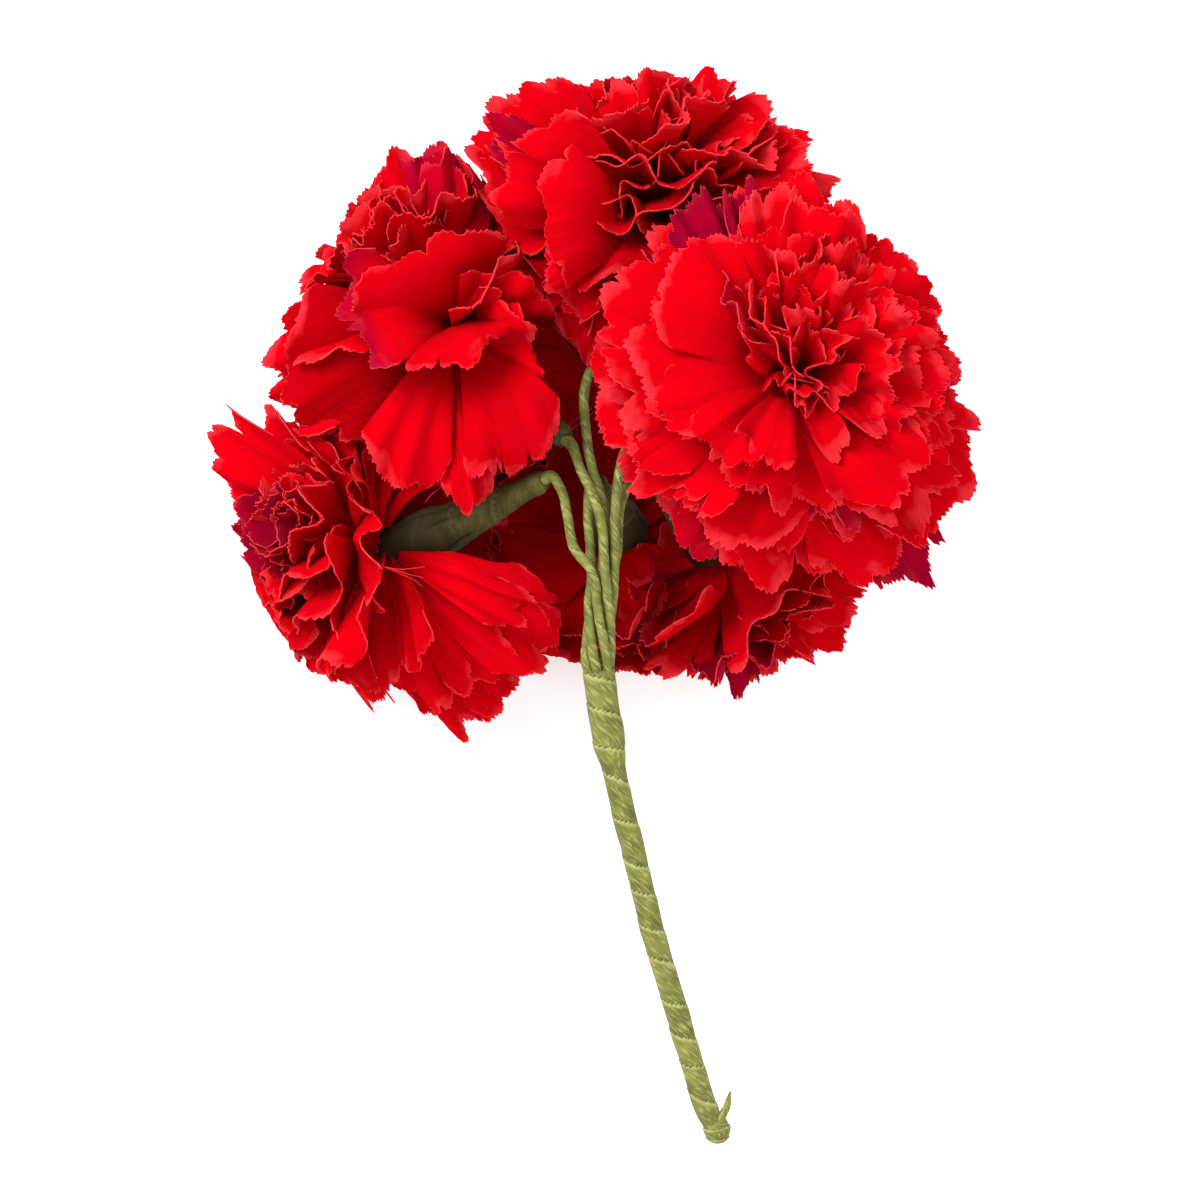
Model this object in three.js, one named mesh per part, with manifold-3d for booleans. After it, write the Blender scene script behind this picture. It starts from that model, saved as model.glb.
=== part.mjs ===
// A bunch of six fabric carnations on taped wires, lying on a table.
// Millimetres, +Z up, the table at Z = 0. The stem runs towards -Y, and the heads lie round +Y.
// Each head is one bloom of fused petals on its own calyx, and each calyx ends in a taped wire.
// The six wires twist into one bundle, which stands in the mouth of the taped stem.
import * as THREE from "three";
import { mergeVertices } from "three/addons/utils/BufferGeometryUtils.js";
import Module from "manifold-3d";

const wasm = await Module();
wasm.setup();

const point = (x, y, z) => new THREE.Vector3(x, y, z);
const radians = THREE.MathUtils.degToRad;

// Driving dimensions
const CLEARANCE = 0.3;
const STEP_TOLERANCE = 0.08;
const PETAL_THICKNESS = 0.7;
const PETAL_ROUNDING = 0.1;
const PETAL_NOTCH = 0.09;
const PETAL_COLUMNS = 4;
const RING_PETAL_ROWS = [0.3, 0.66, 1];
const OWN_PETAL_ROWS = [0.1, 0.4, 0.7, 1];
const ROOT_RISE = 3;
const CALYX_MOUTH_RADIUS = 6.4;
const CALYX_NECK_RADIUS = 2.2;
const CALYX_SIDES = 12;
const WIRE_DIAMETER = 1.9;
const WIRE_SIDES = 8;
const WIRE_STEP = 6;
const WIRE_LEAD = 1.8;
const BUNDLE_RADIUS = 2.4;
const BUNDLE_TWIST = radians(-100);
const CORE_RADIUS = 1.5;
const COLLAR_RADIUS = 3.25;
const STEM_RADIUS = 2.4;
const STEM_SIDES = 10;
const STEM_STEPS = 11;
const CENTRING_SHIFT = point(0.4, -0.8, 0);
const TABLE_DEPTH = 20;
const TABLE_SIZE = 400;

// A ring's petals stand by turns nearer to and farther from the axis, and each is drawn a
// little off its place. Angles are in degrees, heights in millimetres.
const PETAL_STAGGER = 5;
const TURN_SPREAD = 4;
const TILT_SPREAD = 2;
const LENGTH_SPREAD = 0.06;
const CUP_SPREAD = 3;
const WAVE_HEIGHT = { least: 1.6, spread: 1 };
const WAVE_COUNT = { least: 1.1, spread: 0.5 };
const OWN_WAVE_HEIGHT = 1.4;
const OWN_WAVE_COUNT = 1.2;

// A petal rises towards a point at this share of its tilt and of its length, and its cup is
// the rise of its sides at this share of its length from its middle line.
const LIFT_TILT_SHARE = 0.45;
const LIFT_LENGTH_SHARE = 0.5;
const CUP_REACH = 0.5;

// The tilt, in degrees, from which petals have their full length, and how near to a head's
// bare side a petal may stand: the cosine of the angle between them.
const FULL_LENGTH_TILT = 80;
const BARE_SPREAD = 0.4;

// How firmly a head's petals bend away from its neighbours and from the table: the share of
// the room over which they keep their own line, and how far below the table they would reach.
const NEIGHBOUR_FREE_SHARE = 0.62;
const TABLE_FREE_SHARE = 0.86;
const TABLE_PRESS = 2.8;

// The dome of packed petal roots: radius and height as shares of the head's radius.
const DOME_PROFILE = [
  [0, 0],
  [0.16, 0],
  [0.4, 0.22],
  [0.48, 0.45],
  [0.34, 0.66],
  [0, 0.76],
];
const DOME_SIDES = 10;

// The swell of a calyx between its neck and its mouth: radius, and place as a share of its length.
const CALYX_SWELL = [
  [CALYX_NECK_RADIUS + 0.25, 0.12],
  [0.6 * CALYX_MOUTH_RADIUS, 0.45],
  [0.92 * CALYX_MOUTH_RADIUS, 0.8],
];

// Rings of petals round a head's axis: angle of the tips from the axis, number of petals, and
// half the angle of each fan, in degrees.
const OPEN_RINGS = [
  { tilt: 14, count: 3, halfAngle: 26 },
  { tilt: 36, count: 4, halfAngle: 30 },
  { tilt: 60, count: 5, halfAngle: 32 },
  { tilt: 82, count: 5, halfAngle: 33 },
  { tilt: 103, count: 4, halfAngle: 31 },
];
const FULL_RINGS = [
  { tilt: 14, count: 2, halfAngle: 26 },
  { tilt: 36, count: 4, halfAngle: 26 },
  { tilt: 60, count: 5, halfAngle: 28 },
  { tilt: 84, count: 5, halfAngle: 30 },
  { tilt: 106, count: 4, halfAngle: 30 },
  { tilt: 126, count: 3, halfAngle: 30 },
];
const CLOSE_RINGS = [
  { tilt: 14, count: 2, halfAngle: 26 },
  { tilt: 46, count: 3, halfAngle: 31 },
  { tilt: 74, count: 5, halfAngle: 31 },
  { tilt: 102, count: 4, halfAngle: 31 },
];

// A petal with a place of its own: its tip, the point that it rises towards, half the angle of
// its fan, its cup, and the direction that it faces where that isn't its head's.
const petalTo = (tip, lift, halfAngle, cup, face) => ({ tip, lift, halfAngle, cup, face });

// mouth is the middle of the calyx's open end, where the petals start, and neck its thin end.
// heart is the length of the innermost petals as a share of the radius. wire lists the free run
// of the wire after the neck, and slot its place in the bundle, in degrees. petals are those
// that stand out of the rings. The rings are left out on a bare side, from a bare tilt on.
const HEADS = [
  {
    name: "right",
    mouth: point(36.8, 44, 62),
    neck: point(20.7, 35.5, 52),
    axis: point(0.2, 0.2, 0.96),
    radius: 41,
    heart: 0.62,
    rings: OPEN_RINGS,
    seed: 11,
    slot: 20,
    wire: [
      point(12, 33.4, 51),
      point(6.1, 31.5, 54),
      point(4.4, 25.9, 56.6),
      point(3.7, 18.3, 57.4),
      point(3.6, 11.9, 57.3),
    ],
    petals: [
      petalTo(point(8, 82, 52), point(23, 65, 72), 16, 0),
      petalTo(point(22, 90, 54), point(30, 68, 72), 16, 0),
      petalTo(point(20, 4, 58), point(27, 24, 74), 27, -2),
      petalTo(point(62, 6, 46), point(53, 22, 66), 13, 0),
      petalTo(point(77.5, 46, 62), point(59, 46, 82), 28, 2),
    ],
  },
  {
    name: "top",
    mouth: point(10.8, 73.8, 29),
    neck: point(2.7, 54.5, 43),
    axis: point(-0.05, 0.85, 0.52),
    radius: 39,
    heart: 0.64,
    rings: OPEN_RINGS,
    seed: 23,
    slot: 260,
    wire: [
      point(-2.2, 44.5, 48),
      point(-1.9, 33.5, 50.6),
      point(-0.7, 27.1, 52),
      point(0.9, 22.1, 53),
      point(1.4, 15, 53.8),
    ],
    petals: [
      petalTo(point(-15, 73, 58), point(2, 77, 66), 24, -2, point(0.78, 0, 0.61)),
      petalTo(point(-12, 50, 52), point(2, 64, 62), 22, -2, point(0.2, -0.3, 0.9)),
      petalTo(point(12, 110, 34), point(11, 98, 50), 26, 2),
    ],
  },
  {
    name: "upper_left",
    mouth: point(-27.3, 54.5, 32.5),
    neck: point(-6.1, 33.5, 51),
    axis: point(-0.42, 0.87, 0.26),
    radius: 39,
    heart: 0.88,
    rings: FULL_RINGS,
    bareSide: point(0, 0, 1),
    bareTilt: 30,
    seed: 37,
    slot: 80,
    wire: [point(-3.1, 27.3, 55), point(-0.3, 21.3, 57.6), point(1.1, 15.7, 59)],
    petals: [
      petalTo(point(-36, 71, 67), point(-29, 58, 62), 36, 6),
      petalTo(point(-14, 64, 65), point(-22, 57, 62), 30, 5),
      petalTo(point(-25, 49, 66), point(-26, 57, 72), 28, 3),
      petalTo(point(-17, 25, 56), point(-23, 46, 71), 26, -1, point(0, -0.3, 0.95)),
      petalTo(point(-63, 42, 42), point(-43, 55, 60), 32, -3, point(-0.3, -0.3, 0.9)),
      petalTo(point(-51, 56.5, 62), point(-33, 63, 73), 22, -2, point(0.47, 0.72, 0.31)),
      petalTo(point(-40, 22, 46), point(-34, 42, 60), 15, 2, point(0, -0.2, 0.9)),
    ],
  },
  {
    name: "lower_left",
    mouth: point(-40.3, 11.1, 26.4),
    neck: point(-10.3, 25.5, 50),
    axis: point(-0.83, 0.2, 0.52),
    radius: 37,
    heart: 0.88,
    rings: FULL_RINGS,
    bareSide: point(0.5, 0.15, 0.85),
    bareTilt: 50,
    seed: 41,
    slot: 140,
    wire: [point(-6.8, 22.8, 53), point(-5.7, 18, 54.5), point(-4.5, 12, 55.5)],
    petals: [
      petalTo(point(-5, -1, 42), point(-27, 4, 57), 30, -3, point(0.2, -0.5, 0.85)),
      petalTo(point(-49, -10, 58), point(-46, 4, 60), 25, 4),
      petalTo(point(-8, -12, 26), point(-29, -4, 42), 26, -1, point(0, -0.3, 0.9)),
      petalTo(point(-74, 35, 36), point(-60, 27, 46), 22, 2),
    ],
  },
  {
    name: "lower_centre",
    mouth: point(4.5, 15, 26),
    neck: point(-0.2, 25, 46),
    axis: point(-0.04, -0.5, -0.86),
    radius: 31,
    heart: 0.9,
    rings: CLOSE_RINGS,
    seed: 53,
    slot: 200,
    wire: [point(-1.4, 23.6, 50.4), point(-1.7, 18, 52.4), point(-1.2, 11.9, 54)],
    petals: [],
  },
  {
    name: "lower_right",
    mouth: point(23.5, 13.5, 28.8),
    neck: point(11.1, 27.5, 48),
    axis: point(0.4, -0.6, -0.69),
    radius: 31,
    heart: 0.9,
    rings: CLOSE_RINGS,
    seed: 71,
    slot: 320,
    wire: [
      point(8.7, 27.9, 51),
      point(6.4, 24.5, 52.8),
      point(4.9, 20.7, 54),
      point(4.3, 16.1, 54.5),
      point(4.1, 11, 54.5),
    ],
    petals: [],
  },
];

// Where two heads meet, they part along a plane square to the line between their mouths,
// in the ratio of their radii. These pairs lie over and under each other instead.
const PARTINGS = [
  { first: "lower_left", second: "lower_centre", normal: point(0.6, 0, -0.8), share: 0.56 },
  { first: "top", second: "upper_left", normal: point(-0.85, -0.52, -0.05), share: 0.56 },
  { first: "lower_centre", second: "lower_right", normal: point(0.85, 0, 0.5), share: 0.5 },
  { first: "upper_left", second: "lower_left", normal: point(-0.4, -0.7, -0.6), share: 0.54 },
  { first: "right", second: "lower_right", normal: point(-0.1, -0.2, -0.97), share: 0.45 },
  { first: "right", second: "top", normal: point(-0.3, 0.5, -0.81), share: 0.5 },
];

const BUNDLE_LINE = [
  point(1.3, 6.5, 56),
  point(0.8, 0.5, 55.7),
  point(0.5, -5.5, 55.2),
  point(0.3, -11.6, 54.6),
];
const STEM_LINE = [
  point(0.4, -12.5, 54.4),
  point(1.9, -23.1, 53.6),
  point(4.5, -36.9, 52),
  point(7.9, -50.7, 49.6),
  point(11.2, -64.5, 46.4),
  point(15.3, -78.3, 42.6),
  point(18.7, -90, 39.2),
  point(22.6, -102.3, 35.6),
];
const COLLAR_END = 0.11;
const COLLAR_TAPER = 0.1;
const KNOB_MIDDLE = point(24.3, -105.3, 34.6);
const KNOB_RADII = point(2.5, 3, 2.3);
const KNOB_TURN = radians(16);
const KNOB_SEGMENTS = [8, 6];
const TAIL_LINE = [point(24.6, -103.6, 36.2), point(26.2, -100.4, 37.2), point(26.9, -97.2, 37.6)];
const TAIL_WIDTH = 1.5;
const TAIL_THICKNESS = 0.7;
const TAIL_STEPS = 5;

// Materials
const petalRed = new THREE.MeshStandardMaterial({ color: 0xd81020, roughness: 0.85, metalness: 0 });
const calyxGreen = new THREE.MeshStandardMaterial({ color: 0x565c30, roughness: 0.8, metalness: 0 });
const tapeGreen = new THREE.MeshStandardMaterial({ color: 0x8f9a55, roughness: 0.75, metalness: 0 });
const wireGrey = new THREE.MeshStandardMaterial({ color: 0x8a8f93, roughness: 0.4, metalness: 0.9 });

// A repeatable stream of numbers from 0 to 1.
function numberStream(seed) {
  let state = seed;
  return () => {
    state = (state * 1664525 + 1013904223) % 4294967296;
    return state / 4294967296;
  };
}

// Solids and meshes
function solidFrom(geometry) {
  const bare = geometry.clone();
  bare.deleteAttribute("normal");
  bare.deleteAttribute("uv");
  const merged = mergeVertices(bare, 1e-4);
  return new wasm.Manifold(
    new wasm.Mesh({
      numProp: 3,
      vertProperties: new Float32Array(merged.attributes.position.array),
      triVerts: new Uint32Array(merged.index.array),
    }),
  );
}

function geometryFrom(solid) {
  const { vertProperties, triVerts } = solid.getMesh();
  const geometry = new THREE.BufferGeometry();
  geometry.setAttribute("position", new THREE.BufferAttribute(vertProperties, 3));
  geometry.setIndex(new THREE.BufferAttribute(triVerts, 1));
  geometry.computeVertexNormals();
  return geometry;
}

// The largest body alone: loose scraps go, sealed hollows are filled, and so are tiny steps.
function largestBody(solid) {
  const bodies = solid.simplify(STEP_TOLERANCE).decompose();
  return bodies.reduce((best, body) => (body.volume() > best.volume() ? body : best));
}

// The places and frames of a straight column's layers once it is bent along a line.
function bentAlong(straight, line, radiusAt) {
  const curve = new THREE.CatmullRomCurve3(line);
  const frames = curve.computeFrenetFrames(STEM_STEPS);
  const places = straight.attributes.position;
  for (let i = 0; i < places.count; i += 1) {
    const layer = Math.round(places.getZ(i) * STEM_STEPS);
    const radius = radiusAt(layer / STEM_STEPS, Math.hypot(places.getX(i), places.getY(i)));
    const bent = curve
      .getPointAt(layer / STEM_STEPS)
      .addScaledVector(frames.normals[layer], places.getX(i) * radius)
      .addScaledVector(frames.binormals[layer], places.getY(i) * radius);
    places.setXYZ(i, bent.x, bent.y, bent.z);
  }
  return straight;
}

function polygon(radius, sides) {
  const corners = [];
  for (let i = 0; i < sides; i += 1) {
    const angle = (i * 2 * Math.PI) / sides;
    corners.push(new THREE.Vector2(radius * Math.cos(angle), radius * Math.sin(angle)));
  }
  return corners;
}

function tube(line, radius, sides, stepLength) {
  const path = new THREE.CatmullRomCurve3(line);
  const steps = Math.ceil(path.getLength() / stepLength);
  return new THREE.ExtrudeGeometry(new THREE.Shape(polygon(radius, sides)), { steps, extrudePath: path });
}

// Petals
// A smooth line that leaves a value alone up to free, and then closes in on limit.
function softened(value, free, limit) {
  if (value <= free) {
    return value;
  }
  return free + (limit - free) * (1 - Math.exp((free - value) / (limit - free)));
}

function partingPlanes(head) {
  const tableRoom = head.mouth.z + TABLE_PRESS;
  const planes = [{ normal: point(0, 0, -1), room: tableRoom, freeShare: TABLE_FREE_SHARE }];
  const neighbours = HEADS.filter(
    (other) => other !== head && other.mouth.distanceTo(head.mouth) <= head.radius + other.radius,
  );
  for (const other of neighbours) {
    const apart = other.mouth.clone().sub(head.mouth);
    const pair = [head.name, other.name];
    const chosen = PARTINGS.find(({ first, second }) => pair.includes(first) && pair.includes(second));
    const isFirst = chosen && chosen.first === head.name;
    const normal = chosen ? chosen.normal.clone().multiplyScalar(isFirst ? 1 : -1) : apart.clone();
    normal.normalize();
    let share = head.radius / (head.radius + other.radius);
    if (chosen) {
      share = isFirst ? chosen.share : 1 - chosen.share;
    }
    const room = share * apart.dot(normal) - PETAL_THICKNESS / 2 - CLEARANCE / 2;
    planes.push({ normal, room, freeShare: NEIGHBOUR_FREE_SHARE });
  }
  return planes;
}

function pressed(place, head, planes) {
  for (const { normal, room, freeShare } of planes) {
    const reach = place.clone().sub(head.mouth).dot(normal);
    place.addScaledVector(normal, softened(reach, room * freeShare, room) - reach);
  }
  return place;
}

function petalPlace(petal, along, across) {
  const fan = across * petal.halfAngle;
  const reach = along * (1 - PETAL_ROUNDING * across * across);
  const t = reach * Math.cos(fan);
  const sideways = reach * petal.length * Math.sin(fan);
  const curve = new THREE.QuadraticBezierCurve3(petal.root, petal.lift, petal.tip);
  const facing = new THREE.Vector3().crossVectors(curve.getTangent(Math.min(t, 1)), petal.side);
  const ripple = petal.wave * along * along * Math.sin(2 * Math.PI * petal.waves * across + petal.phase);
  const cup = petal.cup * (sideways / (CUP_REACH * petal.length)) ** 2;
  return curve.getPoint(t).addScaledVector(petal.side, sideways).addScaledVector(facing, ripple + cup);
}

// One waved blade: a grid of places thickened to both sides, split alike on both faces.
function blade(petal, head, planes) {
  const rows = petal.rows.length;
  const columns = PETAL_COLUMNS + 1;
  const grid = [];
  for (let row = 0; row < rows; row += 1) {
    for (let column = 0; column < columns; column += 1) {
      const across = (2 * column) / PETAL_COLUMNS - 1;
      const notch = row === rows - 1 && column % 2 === petal.notchSide ? 1 - PETAL_NOTCH : 1;
      grid.push(pressed(petalPlace(petal, petal.rows[row] * notch, across), head, planes));
    }
  }
  const kept = (value, count) => THREE.MathUtils.clamp(value, 0, count - 1);
  const at = (row, column) => grid[kept(row, rows) * columns + kept(column, columns)];
  const places = [];
  for (const half of [PETAL_THICKNESS / 2, -PETAL_THICKNESS / 2]) {
    for (let row = 0; row < rows; row += 1) {
      for (let column = 0; column < columns; column += 1) {
        const outwards = at(row + 1, column).clone().sub(at(row - 1, column));
        const sidewards = at(row, column + 1).clone().sub(at(row, column - 1));
        const facing = outwards.cross(sidewards).normalize();
        places.push(...at(row, column).clone().addScaledVector(facing, half).toArray());
      }
    }
  }
  const back = rows * columns;
  const faces = [];
  const quad = (a, b, c, d) => faces.push(a, b, c, a, c, d);
  for (let row = 0; row < rows - 1; row += 1) {
    for (let column = 0; column < columns - 1; column += 1) {
      const a = row * columns + column;
      const [b, c, d] = [a + columns, a + columns + 1, a + 1];
      quad(a, b, c, d);
      faces.push(back + a, back + c, back + b, back + a, back + d, back + c);
    }
  }
  const acrossSteps = [...Array(columns - 1).keys()];
  const alongSteps = [...Array(rows - 1).keys()];
  const rim = [
    ...acrossSteps,
    ...alongSteps.map((row) => row * columns + columns - 1),
    ...acrossSteps.map((column) => rows * columns - 1 - column),
    ...alongSteps.map((row) => (rows - 1 - row) * columns),
  ];
  rim.forEach((here, i) => {
    const next = rim[(i + 1) % rim.length];
    quad(here, next, back + next, back + here);
  });
  return new wasm.Manifold(
    new wasm.Mesh({
      numProp: 3,
      vertProperties: new Float32Array(places),
      triVerts: new Uint32Array(faces),
    }),
  );
}

function headFrame(head) {
  const axis = head.axis.clone().normalize();
  const across = point(1, 0, 0).addScaledVector(axis, -axis.x).normalize();
  const upward = new THREE.Vector3().crossVectors(axis, across);
  return { axis, across, upward };
}

function direction({ axis, across, upward }, tilt, turn) {
  return axis
    .clone()
    .multiplyScalar(Math.cos(tilt))
    .addScaledVector(across, Math.sin(tilt) * Math.cos(turn))
    .addScaledVector(upward, Math.sin(tilt) * Math.sin(turn));
}

// Whether a head's side is bare at a tilt in degrees and a turn in radians.
function isBare(head, frame, tilt, turn) {
  if (!head.bareSide || tilt <= head.bareTilt) {
    return false;
  }
  const outwards = direction(frame, Math.PI / 2, turn);
  return outwards.dot(head.bareSide) > BARE_SPREAD * head.bareSide.length();
}

function ringPetals(head, frame, root, next) {
  const spread = (amount) => amount * (2 * next() - 1);
  const petals = [];
  head.rings.forEach((ring, level) => {
    const fullness = Math.min(1, ring.tilt / FULL_LENGTH_TILT);
    const reach = head.radius * THREE.MathUtils.lerp(head.heart, 1, fullness);
    for (let i = 0; i < ring.count; i += 1) {
      const turn = ((i + 0.5 * (level % 2)) * 2 * Math.PI) / ring.count + radians(spread(TURN_SPREAD));
      const stagger = i % 2 ? PETAL_STAGGER : -PETAL_STAGGER;
      const tilt = radians(ring.tilt + stagger + spread(TILT_SPREAD));
      const length = reach * (1 - LENGTH_SPREAD * next());
      const lift = direction(frame, LIFT_TILT_SHARE * tilt, turn).multiplyScalar(LIFT_LENGTH_SHARE * length);
      const petal = {
        lift: lift.add(root),
        tip: root.clone().addScaledVector(direction(frame, tilt, turn), length),
        halfAngle: ring.halfAngle,
        cup: spread(CUP_SPREAD),
        wave: WAVE_HEIGHT.least + WAVE_HEIGHT.spread * next(),
        waves: WAVE_COUNT.least + WAVE_COUNT.spread * next(),
        phase: 2 * Math.PI * next(),
        notchSide: i % 2,
        rows: RING_PETAL_ROWS,
      };
      if (!isBare(head, frame, ring.tilt, turn)) {
        petals.push(petal);
      }
    }
  });
  return petals;
}

function petalsOf(head) {
  const frame = headFrame(head);
  const next = numberStream(head.seed);
  const root = head.mouth.clone().addScaledVector(frame.axis, ROOT_RISE);
  const ownPetals = head.petals.map((petal) => ({
    ...petal,
    wave: OWN_WAVE_HEIGHT,
    waves: OWN_WAVE_COUNT,
    phase: 2 * Math.PI * next(),
    notchSide: 1,
    rows: OWN_PETAL_ROWS,
  }));
  return [...ringPetals(head, frame, root, next), ...ownPetals].map((petal) => {
    const run = petal.tip.clone().sub(root);
    const side = new THREE.Vector3().crossVectors(petal.face ?? frame.axis, run).normalize();
    return { ...petal, root, side, length: run.length(), halfAngle: radians(petal.halfAngle) };
  });
}

// The packed petal roots, as a small dome that the petals stand out of.
function rootDome(head, planes) {
  const profile = DOME_PROFILE.map(
    ([radius, height]) => new THREE.Vector2(radius * head.radius, height * head.heart * head.radius),
  );
  const dome = new THREE.LatheGeometry(profile, DOME_SIDES);
  const turn = new THREE.Quaternion().setFromUnitVectors(point(0, 1, 0), head.axis.clone().normalize());
  dome.applyQuaternion(turn);
  dome.translate(...head.mouth.toArray());
  const places = dome.attributes.position;
  for (let i = 0; i < places.count; i += 1) {
    const place = pressed(new THREE.Vector3().fromBufferAttribute(places, i), head, planes);
    places.setXYZ(i, place.x, place.y, place.z);
  }
  return solidFrom(dome);
}

// A calyx: a taper from its thin neck to its mouth, grown by a margin where it cuts a bloom.
function calyxGeometry(head, margin) {
  const run = head.mouth.clone().sub(head.neck);
  const length = run.length();
  const profile = [
    [0, -margin],
    [CALYX_NECK_RADIUS + margin, -margin],
    ...CALYX_SWELL.map(([radius, share]) => [radius + margin, share * length]),
    [CALYX_MOUTH_RADIUS + margin, length + margin],
    [0, length + margin],
  ].map(([radius, height]) => new THREE.Vector2(radius, height));
  const calyx = new THREE.LatheGeometry(profile, CALYX_SIDES);
  calyx.applyQuaternion(new THREE.Quaternion().setFromUnitVectors(point(0, 1, 0), run.normalize()));
  calyx.translate(...head.neck.toArray());
  return calyx;
}

// A wire leaves the neck in line with the calyx, runs free, and then twists into the bundle.
function wireLine(head, margin) {
  const outwards = head.neck.clone().sub(head.mouth).normalize();
  const line = [
    head.neck.clone().addScaledVector(outwards, CLEARANCE - margin),
    head.neck.clone().addScaledVector(outwards, WIRE_LEAD),
    ...head.wire,
  ];
  const twisted = BUNDLE_LINE.map((middle, i) => {
    const angle = radians(head.slot) + (BUNDLE_TWIST * i) / (BUNDLE_LINE.length - 1);
    const outOfMiddle = point(Math.cos(angle), 0, Math.sin(angle));
    return middle.clone().addScaledVector(outOfMiddle, BUNDLE_RADIUS);
  });
  return [...line, ...twisted];
}

function wireGeometry(head, margin) {
  return tube(wireLine(head, margin), WIRE_DIAMETER / 2 + margin, WIRE_SIDES, WIRE_STEP);
}

function stemCore() {
  return tube(STEM_LINE, CORE_RADIUS, WIRE_SIDES, 2 * WIRE_STEP);
}

// The tape wound down the stem: thick at the collar, then one step down to the slim stem.
function stemTape() {
  const ring = new THREE.Shape(polygon(1, STEM_SIDES));
  const bore = (CORE_RADIUS + CLEARANCE) / STEM_RADIUS;
  ring.holes.push(new THREE.Path(polygon(bore, WIRE_SIDES).reverse()));
  const straight = new THREE.ExtrudeGeometry(ring, { steps: STEM_STEPS, depth: 1, bevelEnabled: false });
  const radiusAt = (t, fromMiddle) => {
    if (fromMiddle < (1 + bore) / 2) {
      return STEM_RADIUS;
    }
    const thinning = THREE.MathUtils.smoothstep(t, COLLAR_END, COLLAR_END + COLLAR_TAPER);
    return THREE.MathUtils.lerp(COLLAR_RADIUS, STEM_RADIUS, thinning);
  };
  return bentAlong(straight, STEM_LINE, radiusAt);
}

// The folded end of the tape: a knob below the stem with the loose tail of the tape beside it.
function stemKnob() {
  const knob = new THREE.SphereGeometry(1, ...KNOB_SEGMENTS);
  knob.scale(...KNOB_RADII.toArray());
  knob.rotateZ(KNOB_TURN);
  knob.translate(...KNOB_MIDDLE.toArray());
  const half = new THREE.Vector2(TAIL_WIDTH / 2, TAIL_THICKNESS / 2);
  const section = new THREE.Shape([
    new THREE.Vector2(-half.x, -half.y),
    new THREE.Vector2(half.x, -half.y),
    new THREE.Vector2(half.x, half.y),
    new THREE.Vector2(-half.x, half.y),
  ]);
  const extrudePath = new THREE.CatmullRomCurve3(TAIL_LINE);
  const tail = new THREE.ExtrudeGeometry(section, { steps: TAIL_STEPS, extrudePath });
  return solidFrom(knob).add(solidFrom(tail));
}

function tableBlock() {
  const block = new THREE.BoxGeometry(TABLE_SIZE, TABLE_SIZE, TABLE_DEPTH);
  block.translate(0, 0, -TABLE_DEPTH / 2);
  return solidFrom(block);
}

function bloomSolid(head, cutters) {
  const planes = partingPlanes(head);
  const fused = petalsOf(head).reduce(
    (bloom, petal) => bloom.add(blade(petal, head, planes)),
    rootDome(head, planes),
  );
  return largestBody(cutters.reduce((bloom, cutter) => bloom.subtract(cutter), fused));
}

// The bunch
const group = new THREE.Group();
group.position.copy(CENTRING_SHIFT);
function place(name, geometry, material) {
  const mesh = new THREE.Mesh(geometry, material);
  mesh.name = name;
  group.add(mesh);
}

const cutters = [tableBlock()];
for (const head of HEADS) {
  cutters.push(solidFrom(calyxGeometry(head, CLEARANCE)));
  cutters.push(solidFrom(wireGeometry(head, CLEARANCE)));
}
for (const head of HEADS) {
  place(`bloom_${head.name}`, geometryFrom(bloomSolid(head, cutters)), petalRed);
  place(`calyx_${head.name}`, calyxGeometry(head, 0), calyxGreen);
  place(`wire_${head.name}`, wireGeometry(head, 0), tapeGreen);
}
place("stem_core", stemCore(), wireGrey);
place("stem_tape", stemTape(), tapeGreen);
place("stem_knob", geometryFrom(stemKnob()), tapeGreen);

export default group;
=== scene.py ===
"""Looks of a bunch of six fabric carnations on taped wires, lying on a table.

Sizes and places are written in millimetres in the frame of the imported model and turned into
metres where a mesh is made. Each head is a fan of pinked cloth petals round its own axis, bent
clear of its neighbours and of the table, on a taped calyx and a taped wire. The six wires twist
together and run into the taped stem.
"""

from __future__ import annotations

import logging
import math
import random
from dataclasses import dataclass, field
from enum import Enum

import bpy
import numpy as np
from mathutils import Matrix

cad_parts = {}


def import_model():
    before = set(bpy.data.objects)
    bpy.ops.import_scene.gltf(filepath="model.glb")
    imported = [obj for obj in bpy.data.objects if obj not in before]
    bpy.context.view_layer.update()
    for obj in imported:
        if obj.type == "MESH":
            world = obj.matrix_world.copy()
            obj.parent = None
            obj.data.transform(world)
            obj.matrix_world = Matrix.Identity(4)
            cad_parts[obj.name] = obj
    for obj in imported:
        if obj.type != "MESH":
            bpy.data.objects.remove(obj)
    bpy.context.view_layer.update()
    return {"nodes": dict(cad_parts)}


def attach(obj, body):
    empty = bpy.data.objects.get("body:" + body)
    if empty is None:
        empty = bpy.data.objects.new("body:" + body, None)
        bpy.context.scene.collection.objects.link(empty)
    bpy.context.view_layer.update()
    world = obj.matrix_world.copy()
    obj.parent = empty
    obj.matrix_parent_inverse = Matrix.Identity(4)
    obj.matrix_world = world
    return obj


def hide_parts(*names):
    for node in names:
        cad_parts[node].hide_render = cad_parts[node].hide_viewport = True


LOG = logging.getLogger("bunch")
BODY = "root"
MM = 0.001
CENTRING_SHIFT = np.array([0.4, -0.8, 0.0])

# Sizes shared with the solids, in millimetres
CALYX_MOUTH_RADIUS = 6.4
CALYX_NECK_RADIUS = 2.2
BUNDLE_RADIUS = 2.4
BUNDLE_TWIST = math.radians(-100)
COLLAR_RADIUS = 3.25
STEM_RADIUS = 2.4
ROOT_RISE = 3.0

# Shares of the room round a head up to which petals keep their own line
NEIGHBOUR_FREE_SHARE = 0.76
TABLE_FREE_SHARE = 0.86
WALL_FREE_SHARE = 0.6

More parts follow.
